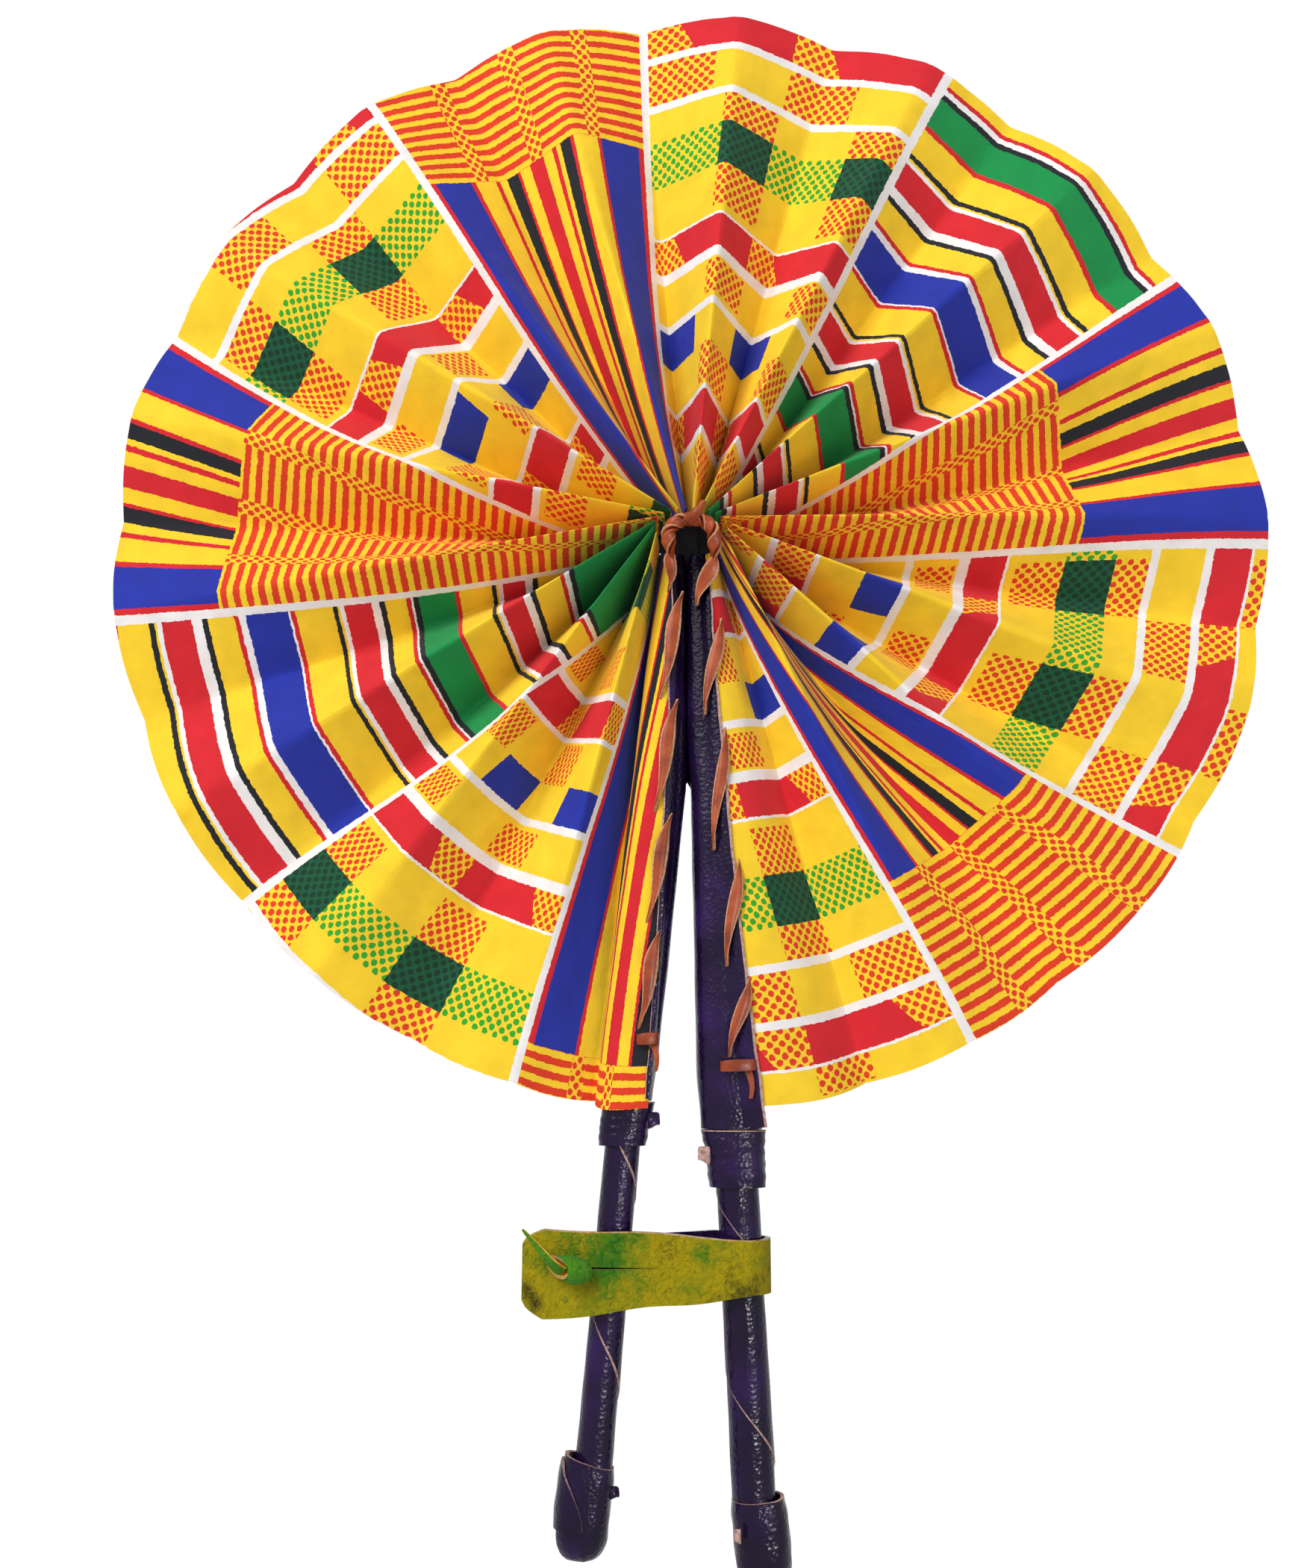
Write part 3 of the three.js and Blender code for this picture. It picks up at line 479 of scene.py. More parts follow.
def addPiece(name, points, faces, materials, faceMaterials=None, prints=None, sharp=sharpAngle):
    mesh = bpy.data.meshes.new(name)
    mesh.from_pydata([toRow(p) for p in points], [], faces)
    for material in materials:
        mesh.materials.append(material)
    if faceMaterials:
        mesh.polygons.foreach_set("material_index", faceMaterials)
    if prints:
        layer = mesh.uv_layers.new(name="print")
        for loop in mesh.loops:
            layer.data[loop.index].uv = prints[loop.vertex_index]
    shape = bmesh.new()
    shape.from_mesh(mesh)
    bmesh.ops.recalc_face_normals(shape, faces=shape.faces)
    shape.to_mesh(mesh)
    shape.free()
    mesh.shade_smooth()
    mesh.set_sharp_from_angle(angle=math.radians(sharp))
    return addObject(name, mesh)


def thicken(piece, thickness, rimMaterial=0, soften=0, backMaterial=0):
    solid = piece.modifiers.new("thickness", "SOLIDIFY")
    solid.material_offset = backMaterial
    solid.thickness = thickness / 1000
    solid.offset = 0.0
    solid.material_offset_rim = rimMaterial
    if soften:
        smooth = piece.modifiers.new("soften", "SUBSURF")
        smooth.levels = soften
        smooth.render_levels = soften
    graph = bpy.context.evaluated_depsgraph_get()
    mesh = bpy.data.meshes.new_from_object(piece.evaluated_get(graph))
    piece.modifiers.clear()
    piece.data = mesh
    mesh.shade_smooth()
    mesh.set_sharp_from_angle(angle=math.radians(sharpAngle))


def gridFaces(rows, columns, first=0, closed=False):
    span = columns if closed else columns - 1
    return [(first + r * columns + c, first + r * columns + (c + 1) % columns,
             first + (r + 1) * columns + (c + 1) % columns, first + (r + 1) * columns + c)
            for r in range(rows - 1) for c in range(span)]


def ringSolid(rings, inner=None):
    # closed body through rings of points; with inner rings it is a tube wall, otherwise its ends are capped
    count = len(rings[0])
    points = [p for ring in rings for p in ring]
    faces = gridFaces(len(rings), count, closed=True)
    if inner is None:
        faces.append(tuple(range(count)))
        faces.append(tuple(range((len(rings) - 1) * count, len(rings) * count)))
        return points, faces
    first = len(points)
    points += [p for ring in inner for p in ring]
    faces += gridFaces(len(inner), count, first, closed=True)
    for outerRow, innerRow in ((0, 0), (len(rings) - 1, len(inner) - 1)):
        for c in range(count):
            d = (c + 1) % count
            faces.append((outerRow * count + c, outerRow * count + d,
                          first + innerRow * count + d, first + innerRow * count + c))
    return points, faces


def stickX(handle, drop):
    return handle["axisAtHub"] + drop * math.tan(math.radians(handle["lean"]))


def sleeveAt(handle, drop):
    s = handle["sleeve"]
    k = min(max(sum(e[0] <= drop for e in s) - 1, 0), len(s) - 2)
    t = clamp((drop - s[k][0]) / (s[k + 1][0] - s[k][0]))
    return [lerp(s[k][i], s[k + 1][i], t) for i in (1, 2, 3)]


def ovalRing(x, z, halfWidth, halfDepth, sides, power=2.6, swell=None):
    ring = []
    for i in range(sides):
        a = 2 * math.pi * i / sides
        c, s = math.cos(a), math.sin(a)
        r = (abs(c) ** power + abs(s) ** power) ** (-1 / power)
        grown = 1 + (swell(a) if swell else 0)
        ring.append(Vector((x + halfWidth * r * c * grown, halfDepth * r * s * grown, z)))
    return ring


# the leaf
leaf = {
    "panels": 34, "innerRadius": 9.3, "gatherSink": 9.0,
    "hubDepth": 13.5, "frontHubDepth": 9.8, "rimDepth": 3.8, "sideHubDepth": 8.0, "sideRimDepth": 3.2,
    "bow": 1.2, "firstAngle": 16.5, "lastAngle": 333.3, "swingSideAngle": 8.5, "fixedSideAngle": 343.5,
    "hubHalfTurn": 124.0, "hubEvenShare": 0.8, "thickness": 0.35, "stripWidth": 27.0, "stripLength": 142.0,
    "endStripWidths": {1: 16.0, 2: 22.0, 33: 23.0, 34: 21.0}, "hubRound": 1.2, "rimRound": 2.4,
    "rimBulge": 1.1, "rows": 42, "columns": 9, "arcSteps": 2, "wrinkle": 0.32,
    "gapOnSleeve": 0.15, "halfLayer": 0.25, "frontRise": 0.3,
}
# White lines of the print: where each meets the rim, and how it drifts and bends toward the hub
printLines = [(-28.0, 0.0, -0.0013), (53.8, 0.0, -0.0013), (134.4, 0.0, -0.0034), (214.0, -0.12, -0.0003),
              (295.5, -0.2, -0.0017), (380.0, -0.03, -0.001), (459.5, -0.06, -0.0004), (546.0, -0.01, 0.0008),
              (630.0, 0.05, 0.002), (708.5, 0.01, 0.0012), (793.0, 0.13, 0.0018), (863.5, 0.01, 0.0013),
              (945.5, 0.01, 0.0013)]
# Where the print's first row lies: the place along the strip, and how far inside the rim (below 0: cut off)
printSlant = [(0, -33), (94, -32.5), (174, -28), (255, -22), (338, -16), (420, -10), (503, -8.5), (588, -8),
              (670, -5), (750, -2), (828, 0), (918, 0.5)]


def clothRest(handle, drop):
    # how far in front of the stick's axis the edge of the cloth lies on the sleeve
    return sleeveAt(handle, drop)[2] + clearance + leaf["gapOnSleeve"] + leaf["halfLayer"]


def clothFront(handle, drop):
    # what is laid on the cloth there starts at its front
    return clothRest(handle, drop) + leaf["frontRise"]


def foldEnds(i):
    last = leaf["panels"]
    if i in (0, last):
        handle = swingHandle if i == 0 else fixedHandle
        edge = handle["edge"]
        rimDrop = math.sqrt(leafOuterRadius ** 2 - edge["rimX"] ** 2)
        return (Vector((edge["hubX"], -clothRest(handle, edge["hubDrop"]), -edge["hubDrop"])),
                Vector((edge["rimX"], -clothRest(handle, rimDrop), -rimDrop)))
    beside = i in (1, last - 1)
    rimAngle = lerp(leaf["firstAngle"], leaf["lastAngle"], (i - 2) / (last - 4))
    rimAngle = {1: leaf["swingSideAngle"], last - 1: leaf["fixedSideAngle"]}.get(i, rimAngle)
    sweep = (2 * i - last) / (last - 2)
    even = leaf["hubEvenShare"]
    hubAngle = 180 + leaf["hubHalfTurn"] * (even * sweep + (1 - even) * sweep ** 3)
    front = -1 if i % 2 == 0 else 1

    def onDisc(angle, radius, depth):
        a = math.radians(angle)
        return Vector((-math.sin(a) * radius, front * depth, -math.cos(a) * radius))
    hubDepth = leaf["sideHubDepth"] if beside else leaf["frontHubDepth"] if front < 0 else leaf["hubDepth"]
    # the lace draws the gathered edge down in the middle
    sink = Vector((0, 0, -leaf["gatherSink"] * (1 - math.cos(math.radians(hubAngle))) / 2))
    return (onDisc(hubAngle, leaf["innerRadius"], hubDepth) + sink,
            onDisc(rimAngle, leafOuterRadius, leaf["sideRimDepth"] if beside else leaf["rimDepth"]))


def foldPoint(i, share):
    hub, rim = foldEnds(i)
    p = hub.lerp(rim, share)
    if i in (0, leaf["panels"]):
        handle = swingHandle if i == 0 else fixedHandle
        p.x += handle["edge"]["bow"] * 4 * share * (1 - share)
        p.y = -clothRest(handle, -p.z)
    elif 1 < i < leaf["panels"] - 1:
        p.y += (-1 if i % 2 == 0 else 1) * leaf["bow"] * 4 * share * (1 - share)
    return p


def stripCurve(k, share):
    # start, corner and end of a strip's section at one share of its length; a flat one's corner is midway
    a, b = foldPoint(k - 1, share), foldPoint(k, share)
    if k not in (1, leaf["panels"]):
        return a, (a + b) / 2, b
    handle, edge, fold = (swingHandle, a, b) if k == 1 else (fixedHandle, b, a)
    facts = handle["edge"]
    swell = 1 - (1 - share) ** 3
    return a, Vector((lerp(edge.x, fold.x, facts["corner"]) + facts["swellX"] * swell,
                      edge.y - facts["swellY"] * swell, (a.z + b.z) / 2)), b


def onCurve(a, corner, b, t):
    place = a * (1 - t) ** 2 + corner * (2 * t * (1 - t)) + b * t ** 2
    return place, (corner - a) * (1 - t) + (b - corner) * t


def stripSection(k, share):
    # points across a strip, the way the cloth runs there and the share of the width; folds are rounded off
    # and shared with the neighbours
    a, corner, b = stripCurve(k, share)
    width = (b - a).length
    reach = lerp(leaf["hubRound"], leaf["rimRound"], share ** 2)
    steps = leaf["arcSteps"]
    section = []

    def fold(before, at, after, fromPart, toPart, u0, u1):
        pa = at - before.normalized() * reach
        pb = at + after.normalized() * reach
        for j in range(steps + 1):
            place, way = onCurve(pa, at, pb, lerp(fromPart, toPart, j / steps))
            section.append((place, way, lerp(u0, u1, j / steps)))

    t0, t1 = 0.0, 1.0
    if k > 1:
        _, otherCorner, otherEnd = stripCurve(k - 1, share)
        fold(otherEnd - otherCorner, a, corner - a, 0.5, 1.0, 0.0, reach / width)
        t0 = reach / width
    if k < leaf["panels"]:
        t1 = 1 - reach / width
    first = 1 if k > 1 else 0
    final = leaf["columns"] - (1 if k < leaf["panels"] else 0)
    for c in range(first, final + 1):
        t = lerp(t0, t1, c / leaf["columns"])
        place, way = onCurve(a, corner, b, t)
        section.append((place, way, t))
    if k < leaf["panels"]:
        _, otherCorner, _ = stripCurve(k + 1, share)
        fold(b - corner, b, otherCorner - b, 0.0, 0.5, t1, 1.0)
    return section


def printPlace(u, v):
    lines = [place + v * drift + v * v * bend for place, drift, bend in printLines]
    k = max(i for i in range(len(lines) - 1) if lines[i] <= u or i == 0)
    across = printed["columnWidth"] * (k + (u - lines[k]) / (lines[k + 1] - lines[k]))
    j = max(i for i in range(len(printSlant) - 1) if printSlant[i][0] <= u or i == 0)
    (u0, s0), (u1, s1) = printSlant[j], printSlant[j + 1]
    return across / 1000, (v - lerp(s0, s1, (u - u0) / (u1 - u0))) / 1000


def makeStrip(k):
    rows = leaf["rows"]
    sections = [stripSection(k, r / rows) for r in range(rows + 1)]
    columns = len(sections[0])
    normals, middle, prints = [], [], []
    for r in range(rows + 1):
        for c in range(columns):
            along = sections[min(r + 1, rows)][c][0] - sections[max(r - 1, 0)][c][0]
            place, way, t = sections[r][c]
            normal = way.cross(along).normalized()
            u = leaf["stripWidth"] * (k - 1 + t)
            v = leaf["stripLength"] * (1 - r / rows)
            calm = clamp(6 * t * (1 - t)) * clamp(6 * r / rows)
            slack = uneven(u / 11, v / 34, 2.7) + 0.5 * uneven(u / 5, v / 14, 8.1)
            bulge = along.normalized() * leaf["rimBulge"] * math.sin(math.pi * t) * (r / rows) ** 8
            middle.append(place + normal * leaf["wrinkle"] * slack * calm + bulge)
            normals.append(normal)
            prints.append(printPlace(u, v))
    half = leaf["thickness"] / 2
    points = [p + n * way for way in (half, -half) for p, n in zip(middle, normals)]
    count = len(middle)
    faces = gridFaces(rows + 1, columns) + [tuple(reversed(f)) for f in gridFaces(rows + 1, columns, count)]
    rim = ([(r * columns, (r + 1) * columns) for r in range(rows)]
           + [((r + 1) * columns - 1, (r + 2) * columns - 1) for r in range(rows)]
           + [(c, c + 1) for c in range(columns - 1)]
           + [(rows * columns + c, rows * columns + c + 1) for c in range(columns - 1)])
    faces += [(i, j, j + count, i + count) for i, j in rim]
    piece = addPiece(f"leaf_strip_{k:02d}", points, faces, [cotton], prints=prints + prints, sharp=55.0)
    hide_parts(f"cloth_panel_{k:02d}")
    if k == 1:
        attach(piece, "swing_handle")
    else:
        towardFixed = k >= leaf["panels"] // 2 + 1
        still, moving = (k, k - 1) if towardFixed else (k - 1, k)
        stillBody = f"pleat_{k + 1:02d}" if towardFixed else f"pleat_{k - 1:02d}"
        stillBody = {2: "swing_handle", leaf["panels"]: "fixed_handle"}.get(k, stillBody)
        start, end = geometry.intersect_line_line(*foldEnds(still), *foldEnds(moving))
        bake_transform(piece)


for k in range(1, leaf["panels"] + 1):
    makeStrip(k)
print("leaf made")


# sleeves
sleeve = {
    "sides": 36, "rows": 60, "slack": 0.035, "foot": 0.92, "footLength": 14,
    "top": 0.72, "topGain": 0.28, "topLength": 5,
    "meetX": -0.6, "meetEnd": 54.0, "partLength": 22, "meetGap": 0.12, "meetPush": 1.3, "meetWall": 0.03,
    "fullerStart": 50, "fullerLength": 30,
    "flapWidth": 4.4, "flapOverlap": 0.9, "flapThickness": 0.55, "flapStart": 5, "flapFoot": 0.5,
    "flapRows": 70, "flapPlaces": (0, 0.25, 0.5, 0.72, 0.88, 1), "flapInner": -0.74, "flapLeast": 0.6,
    "flapRise": 0.25, "tongueThickness": 0.6, "tongueInner": -2.2,
    "tongue": [(0.6, 2.6), (-0.5, 4.8), (-2.0, 7.3), (-3.0, 8.2), (-4.5, 8.7), (-6.0, 8.7), (-7.3, 8.3),
               (-8.4, 6.9), (-10.5, 4.1), (-13.0, 3.8)],
    "gussetTop": 8.0, "gussetEnd": 69.0, "gussetHorn": 7, "gussetX": -0.5, "gussetHalfWidth": 2.4,
    "gussetGap": 0.45, "gussetHollow": 0.3, "gussetThickness": 0.5,
}


def edgeX(handle, drop):
    edge = handle["edge"]
    share = (drop - edge["hubDrop"]) / (leafOuterRadius - edge["hubDrop"])
    return lerp(edge["hubX"], edge["rimX"], share) + edge["bow"] * 4 * share * (1 - share)


def makeSleeve(handle):
    name, side = handle["name"], handle["side"]
    top, foot = handle["sleeve"][0][0], handle["sleeve"][-1][0]
    rings = []
    for r in range(sleeve["rows"] + 1):
        drop = lerp(top, foot, r / sleeve["rows"])
        centre, halfWidth, halfDepth = sleeveAt(handle, drop)
        pinch = min(1, sleeve["top"] + sleeve["topGain"] * ease((drop - top) / sleeve["topLength"]))
        pinch *= lerp(sleeve["foot"], 1, ease((foot - drop) / sleeve["footLength"]))

        def swell(a, drop=drop):
            return sleeve["slack"] * uneven(math.cos(a) * 1.3, math.sin(a) * 1.3, drop / 13)
        ring = ovalRing(centre, -drop, halfWidth * pinch, halfDepth * pinch, sleeve["sides"], 2.7, swell)
        # the two sleeves press together from the hub down to where their sticks part
        innerX = centre - side * halfWidth
        parted = ease((drop - sleeve["meetEnd"]) / sleeve["partLength"])
        toMeet = (sleeve["meetX"] + side * sleeve["meetGap"] - innerX) * (1 - parted)
        fuller = handle["fuller"] * ease((drop - sleeve["fullerStart"]) / sleeve["fullerLength"])
        for point in ring:
            if point.x < centre:
                point.x -= fuller * (centre - point.x) / halfWidth
            point.x += sleeve["meetPush"] * toMeet * clamp((centre - point.x) * side / halfWidth)
            if side * (point.x - sleeve["meetX"]) < sleeve["meetWall"]:
                point.x = sleeve["meetX"] + side * sleeve["meetWall"]
        rings.append(ring)
    points, faces = ringSolid(rings)
    piece = addPiece(f"{name}_leather_sleeve", points, faces, [leather])
    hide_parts(f"{name}_sleeve")
    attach(piece, f"{name}_handle")


def makeTongue(handle):
    # a tongue of the sleeve's leather goes up behind the lace and closes the hub's middle; it is near black,
    # painted shade of the hub's middle, and its stations are height and half width
    name, side = handle["name"], handle["side"]
    points = []
    edge = sleeve["tongue"]
    rows, columns = 26, 10
    for r in range(rows + 1):
        z = lerp(edge[0][0], edge[-1][0], r / rows)
        k = min(sum(e[0] >= z for e in edge) - 1, len(edge) - 2)
        half = lerp(edge[k][1], edge[k + 1][1], (z - edge[k][0]) / (edge[k + 1][0] - edge[k][0]))
        for c in range(columns + 1):
            x = lerp(sleeve["tongueInner"], half, c / columns) * side
            points.append(Vector((x, handle["tongueDepth"] + 0.25 * math.sin(x * 1.3 + z / 2), z)))
    tongue = addPiece(f"{name}_sleeve_tongue", points, gridFaces(rows + 1, columns + 1), [nearBlackShadeLeather])
    thicken(tongue, sleeve["tongueThickness"])
    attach(tongue, f"{name}_handle")


def makeSleeveEdge(handle):
    # edge of the sleeve's leather, laid over the edge of the cloth; its cut side is pale
    name, side = handle["name"], handle["side"]
    rows, columns = sleeve["flapRows"], len(sleeve["flapPlaces"])
    hubDrop, foot = handle["edge"]["hubDrop"], handle["sleeve"][-1][0]
    points = []
    for r in range(rows + 1):
        drop = lerp(hubDrop + sleeve["flapStart"], foot - sleeve["flapFoot"], r / rows)
        centre, halfWidth, halfDepth = sleeveAt(handle, drop)
        narrow = ease((drop - hubDrop) / 40)
        reach = side * (edgeX(handle, drop) - centre)
        inner = max(reach - sleeve["flapWidth"] * lerp(0.35, 1, narrow), sleeve["flapInner"] * halfWidth)
        inner = min(inner, reach - sleeve["flapLeast"])
        # the flap comes out of the oval sleeve at its inner line and ends on the front of the cloth
        onSleeve = halfDepth * (1 - min(0.9, abs(inner / halfWidth)) ** 2.7) ** 0.37 - 0.2
        onCloth = clothFront(handle, drop) + sleeve["flapRise"]
        for t in sleeve["flapPlaces"]:
            x = centre + side * lerp(inner, reach + sleeve["flapOverlap"], t)
            x += side * 0.35 * uneven(drop / 7, side * 3.0, 1.0) * t
            lap = ease(1.05 * (lerp(inner, reach + sleeve["flapOverlap"], t) - inner) / (reach - inner))
            points.append(Vector((x, -lerp(onSleeve, onCloth, lap), -drop)))
    edgeFaces = [1 if f % (columns - 1) == columns - 2 else 0 for f in range(rows * (columns - 1))]
    flap = addPiece(f"{name}_sleeve_edge", points, gridFaces(rows + 1, columns), [leather, leatherEdge],
                    edgeFaces)
    thicken(flap, sleeve["flapThickness"], rimMaterial=1)
    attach(flap, f"{name}_handle")


def makeGusset():
    # leather between the two sleeves, behind them, from the hub to where they part; near black, painted shade
    # of the gap between them
    rows, columns = 40, 6
    points = []
    for r in range(rows + 1):
        for c in range(columns + 1):
            w = 2 * c / columns - 1
            end = sleeve["gussetEnd"] + sleeve["gussetHorn"] * abs(w) ** 1.5
            drop = lerp(sleeve["gussetTop"], end, r / rows)
            depth = max(sleeveAt(handle, drop)[2] for handle in handles) + sleeve["gussetGap"]
            points.append(Vector((sleeve["gussetX"] + sleeve["gussetHalfWidth"] * w,
                                  depth - sleeve["gussetHollow"] * (1 - w * w), -drop)))
    gusset = addPiece("fixed_sleeve_gusset", points, gridFaces(rows + 1, columns + 1), [nearBlackShadeLeather])
    thicken(gusset, sleeve["gussetThickness"])
    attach(gusset, "fixed_handle")


for handle in handles:
    makeSleeve(handle)
    makeTongue(handle)
    makeSleeveEdge(handle)
makeGusset()
print("sleeves made")


# collars
collar = {"sides": 40, "rows": 20, "gapBelowSleeve": 0.3, "topWall": 0.75, "ridges": 5, "ridgeHeight": 0.012,
          "footPinch": 0.05, "slack": 0.03}


def tab(name, body, place, side, width, length, materials, curl=0.6):
    # cut end of a leather strip that stands out where its binding ends
    rows, columns = 7, 4
    points = []
    for r in range(rows):
        t = r / (rows - 1)
        for c in range(columns):
            w = (c / (columns - 1) - 0.5) * width * (1 - 0.35 * t + 0.25 * math.sin(5 * t + c))
            points.append(Vector((place[0] + side * length * t, place[1] - curl * math.sin(3 * t + c * 0.8),
                                  place[2] + w + 0.5 * math.sin(4 * t))))
    piece = addPiece(name, points, gridFaces(rows, columns), materials)
    thicken(piece, 0.7, rimMaterial=1, soften=1)
    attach(piece, body)


def makeCollar(handle):
    name = handle["name"]
    centre, sleeveHalf, sleeveDepth = sleeveAt(handle, handle["sleeve"][-1][0])
    top, foot = handle["sleeve"][-1][0] + collar["gapBelowSleeve"], handle["collarFoot"]
    bore = handle["footRadius"] + clearance
    outer, inner = [], []
    for r in range(collar["rows"] + 1):
        t = 0.02 if r == 1 else r / collar["rows"]
        drop = lerp(top, foot, t)
        # it starts as wide as the sleeve's foot and closes in on the stick
        x = lerp(centre, stickX(handle, drop), ease(t * 2))
        width = lerp(sleeveHalf * sleeve["foot"] + collar["topWall"], handle["collarHalfWidth"], ease(t * 2))
        depth = lerp(sleeveDepth * sleeve["foot"] + collar["topWall"], handle["collarHalfDepth"], ease(t * 2))
        ridge = collar["ridgeHeight"] * math.cos(2 * math.pi * t * collar["ridges"])
        pinch = -collar["footPinch"] * (1 - ease((1 - t) * 7))

        def swell(a, drop=drop, more=ridge + pinch):
            return more + collar["slack"] * uneven(math.cos(a) * 1.6, math.sin(a) * 1.6, drop / 4)
        outer.append(ovalRing(x, -drop, width, depth, collar["sides"], 2.5, swell))
        inner.append(ovalRing(stickX(handle, drop), -drop, bore, bore, collar["sides"], 2.0))
    points, faces = ringSolid(outer, inner)
    count = collar["sides"]
    edgeFaces = [1 if f >= 2 * collar["rows"] * count or f < count else 0 for f in range(len(faces))]
    piece = addPiece(f"{name}_leather_collar", points, faces, [leather, leatherEdge], edgeFaces)
    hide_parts(f"{name}_collar")
    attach(piece, f"{name}_handle")


for handle in handles:
    makeCollar(handle)
tab("fixed_collar_tab", "fixed_handle", (4.8, -3.2, -161.5), -1, 4.6, 3.0, [leatherEdge, leatherEdge])
tab("swing_collar_tab", "swing_handle", (-10.3, -2.4, -153.5), 1, 4.4, 3.0, [leather, leatherEdge])
print("collars made")


# spiral wrappings
wrapping = {"wall": 0.8, "lap": 0.24, "edgeWidth": 0.5, "rows": 64, "sides": 44,
            "dents": 0.13, "creases": 0.1}


def makeWrapping(handle):
    name = handle["name"]
    top, foot = handle["collarFoot"] - 1.0, handle["cap"]["top"] + 1.5
    hole = handle["footRadius"] + clearance
    radius = hole + wrapping["wall"]
    covered = 1 - wrapping["edgeWidth"] / (2 * math.pi * radius)
    outer, inner = [], []
    for r in range(wrapping["rows"] + 1):
        drop = lerp(top, foot, r / wrapping["rows"])
        x = stickX(handle, drop)
        # the lap starts at the stick's left side, seen from the front, at the given height
        start = math.pi + 2 * math.pi * (drop - handle["wrapTurnDrop"]) / handle["wrapPitch"]
        ring, bore = [], []
        for i in range(wrapping["sides"]):
            share = i / (wrapping["sides"] - 1)
            turn = start + 2 * math.pi * share * covered
            grown = radius - wrapping["lap"] * share
            grown += wrapping["dents"] * uneven(math.cos(turn) * 1.2, math.sin(turn) * 1.2, drop / 9)
            grown += wrapping["creases"] * uneven(math.cos(turn) * 3, math.sin(turn) * 3, drop / 30)
            ring.append(Vector((x + grown * math.cos(turn), grown * math.sin(turn), -drop)))
            bore.append(Vector((x + hole * math.cos(turn), hole * math.sin(turn), -drop)))
        outer.append(ring)
        inner.append(bore)
    points, faces = ringSolid(outer, inner)
    count = wrapping["sides"]
    outerFaces = wrapping["rows"] * count
    edgeFaces = [1 if f < outerFaces and f % count == count - 1 else 0 for f in range(len(faces))]
    piece = addPiece(f"{name}_spiral_wrapping", points, faces, [leather, leatherEdge], edgeFaces, sharp=30.0)
    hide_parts(f"{name}_wrap")
    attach(piece, f"{name}_handle")


for handle in handles:
    makeWrapping(handle)
print("wrappings made")


# end caps
endCap = {"sides": 44, "rows": 30, "footStart": 0.62, "puckerStart": 0.6, "footShare": 0.22, "slack": 0.035,
          "boreGap": 0.25, "mouthWall": 0.85, "mouthDepth": 3.5, "lapThickness": 0.55, "lapLift": 0.35}


def capRing(handle, t, grow=0.0):
    cap = handle["cap"]
    drop = lerp(cap["top"], cap["foot"], t)
    roundness = math.sqrt(max(0.0, 1 - clamp((t - endCap["footStart"]) / 0.38) ** 2.4))
    narrow = lerp(endCap["footShare"], 1, roundness)
    puckered = ease((t - endCap["puckerStart"]) / 0.4)

    def swell(a):
        creases = puckered * (0.05 * math.cos(5 * a + 0.6) + 0.03 * math.cos(9 * a))
        return creases + endCap["slack"] * uneven(math.cos(a) * 1.7, math.sin(a) * 1.7, t * 5)
    width = cap["halfWidth"] * lerp(0.93, 1, ease(t * 5)) * narrow + grow
    depth = cap["halfDepth"] * lerp(0.95, 1, ease(t * 5)) * narrow + grow
    middle = stickX(handle, drop) + cap["lean"] * lerp(0.7, 1.0, ease(t * 2)) * lerp(0.5, 1.0, roundness)
    ring = ovalRing(middle, -drop, width, depth, endCap["sides"], 2.35, swell)
    # the mouth's edge runs a little askew round the stick
    for p in ring:
        p.z += (1 - t) ** 2 * cap["skew"] * (p.x - stickX(handle, drop))
    return ring


def makeCap(handle):
    name, cap = handle["name"], handle["cap"]
    outer = [capRing(handle, r / endCap["rows"]) for r in range(endCap["rows"] + 1)]
    bore = handle["footRadius"] + clearance + wrapping["wall"] + endCap["boreGap"]
    depth = cap["top"] + endCap["mouthDepth"]
    inner = [capRing(handle, 0.0, -endCap["mouthWall"]),
             ovalRing(stickX(handle, depth), -depth, bore, bore, endCap["sides"], 2.0)]
    # wall at the mouth, then down into the mouth and closed inside; the foot is closed below
    points, faces = ringSolid(list(reversed(inner)) + outer)
    count = endCap["sides"]
    edgeFaces = [1 if count <= f < 2 * count else 0 for f in range(len(faces))]
    piece = addPiece(f"{name}_leather_cap", points, faces, [leather, leatherEdge], edgeFaces)
    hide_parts(f"{name}_end_cap")
    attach(piece, f"{name}_handle")


def makeCapLap():
    # the cap's strip ends in a flap that is laid over the front of the left cap
    rows, columns = 18, 12
    points = []
    for r in range(rows + 1):
        t = lerp(0.06, 0.66, r / rows)
        ring = capRing(swingHandle, t, endCap["lapLift"])
        last = lerp(3.55, 4.75, math.sin(math.pi / 2 * r / rows)) / (2 * math.pi) * endCap["sides"]
        for c in range(columns + 1):
            place = lerp(0.42 * endCap["sides"], last, c / columns)
            k = int(place)
            points.append(ring[k].lerp(ring[(k + 1) % endCap["sides"]], place - k))
    lap = addPiece("swing_cap_lap", points, gridFaces(rows + 1, columns + 1), [leather, leatherEdge])
    thicken(lap, endCap["lapThickness"], rimMaterial=1)
    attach(lap, "swing_handle")


makeCapLap()
for handle in handles:
    makeCap(handle)
tab("fixed_cap_tab", "fixed_handle", (11.2, -6.2, -244.5), -1, 3.4, 1.6, [leatherEdge, leatherEdge],
    0.3)
tab("swing_cap_tab", "swing_handle", (-18.6, -1.5, -236.8), 1, 3.0, 2.2, [leather, leatherEdge])
print("caps made")


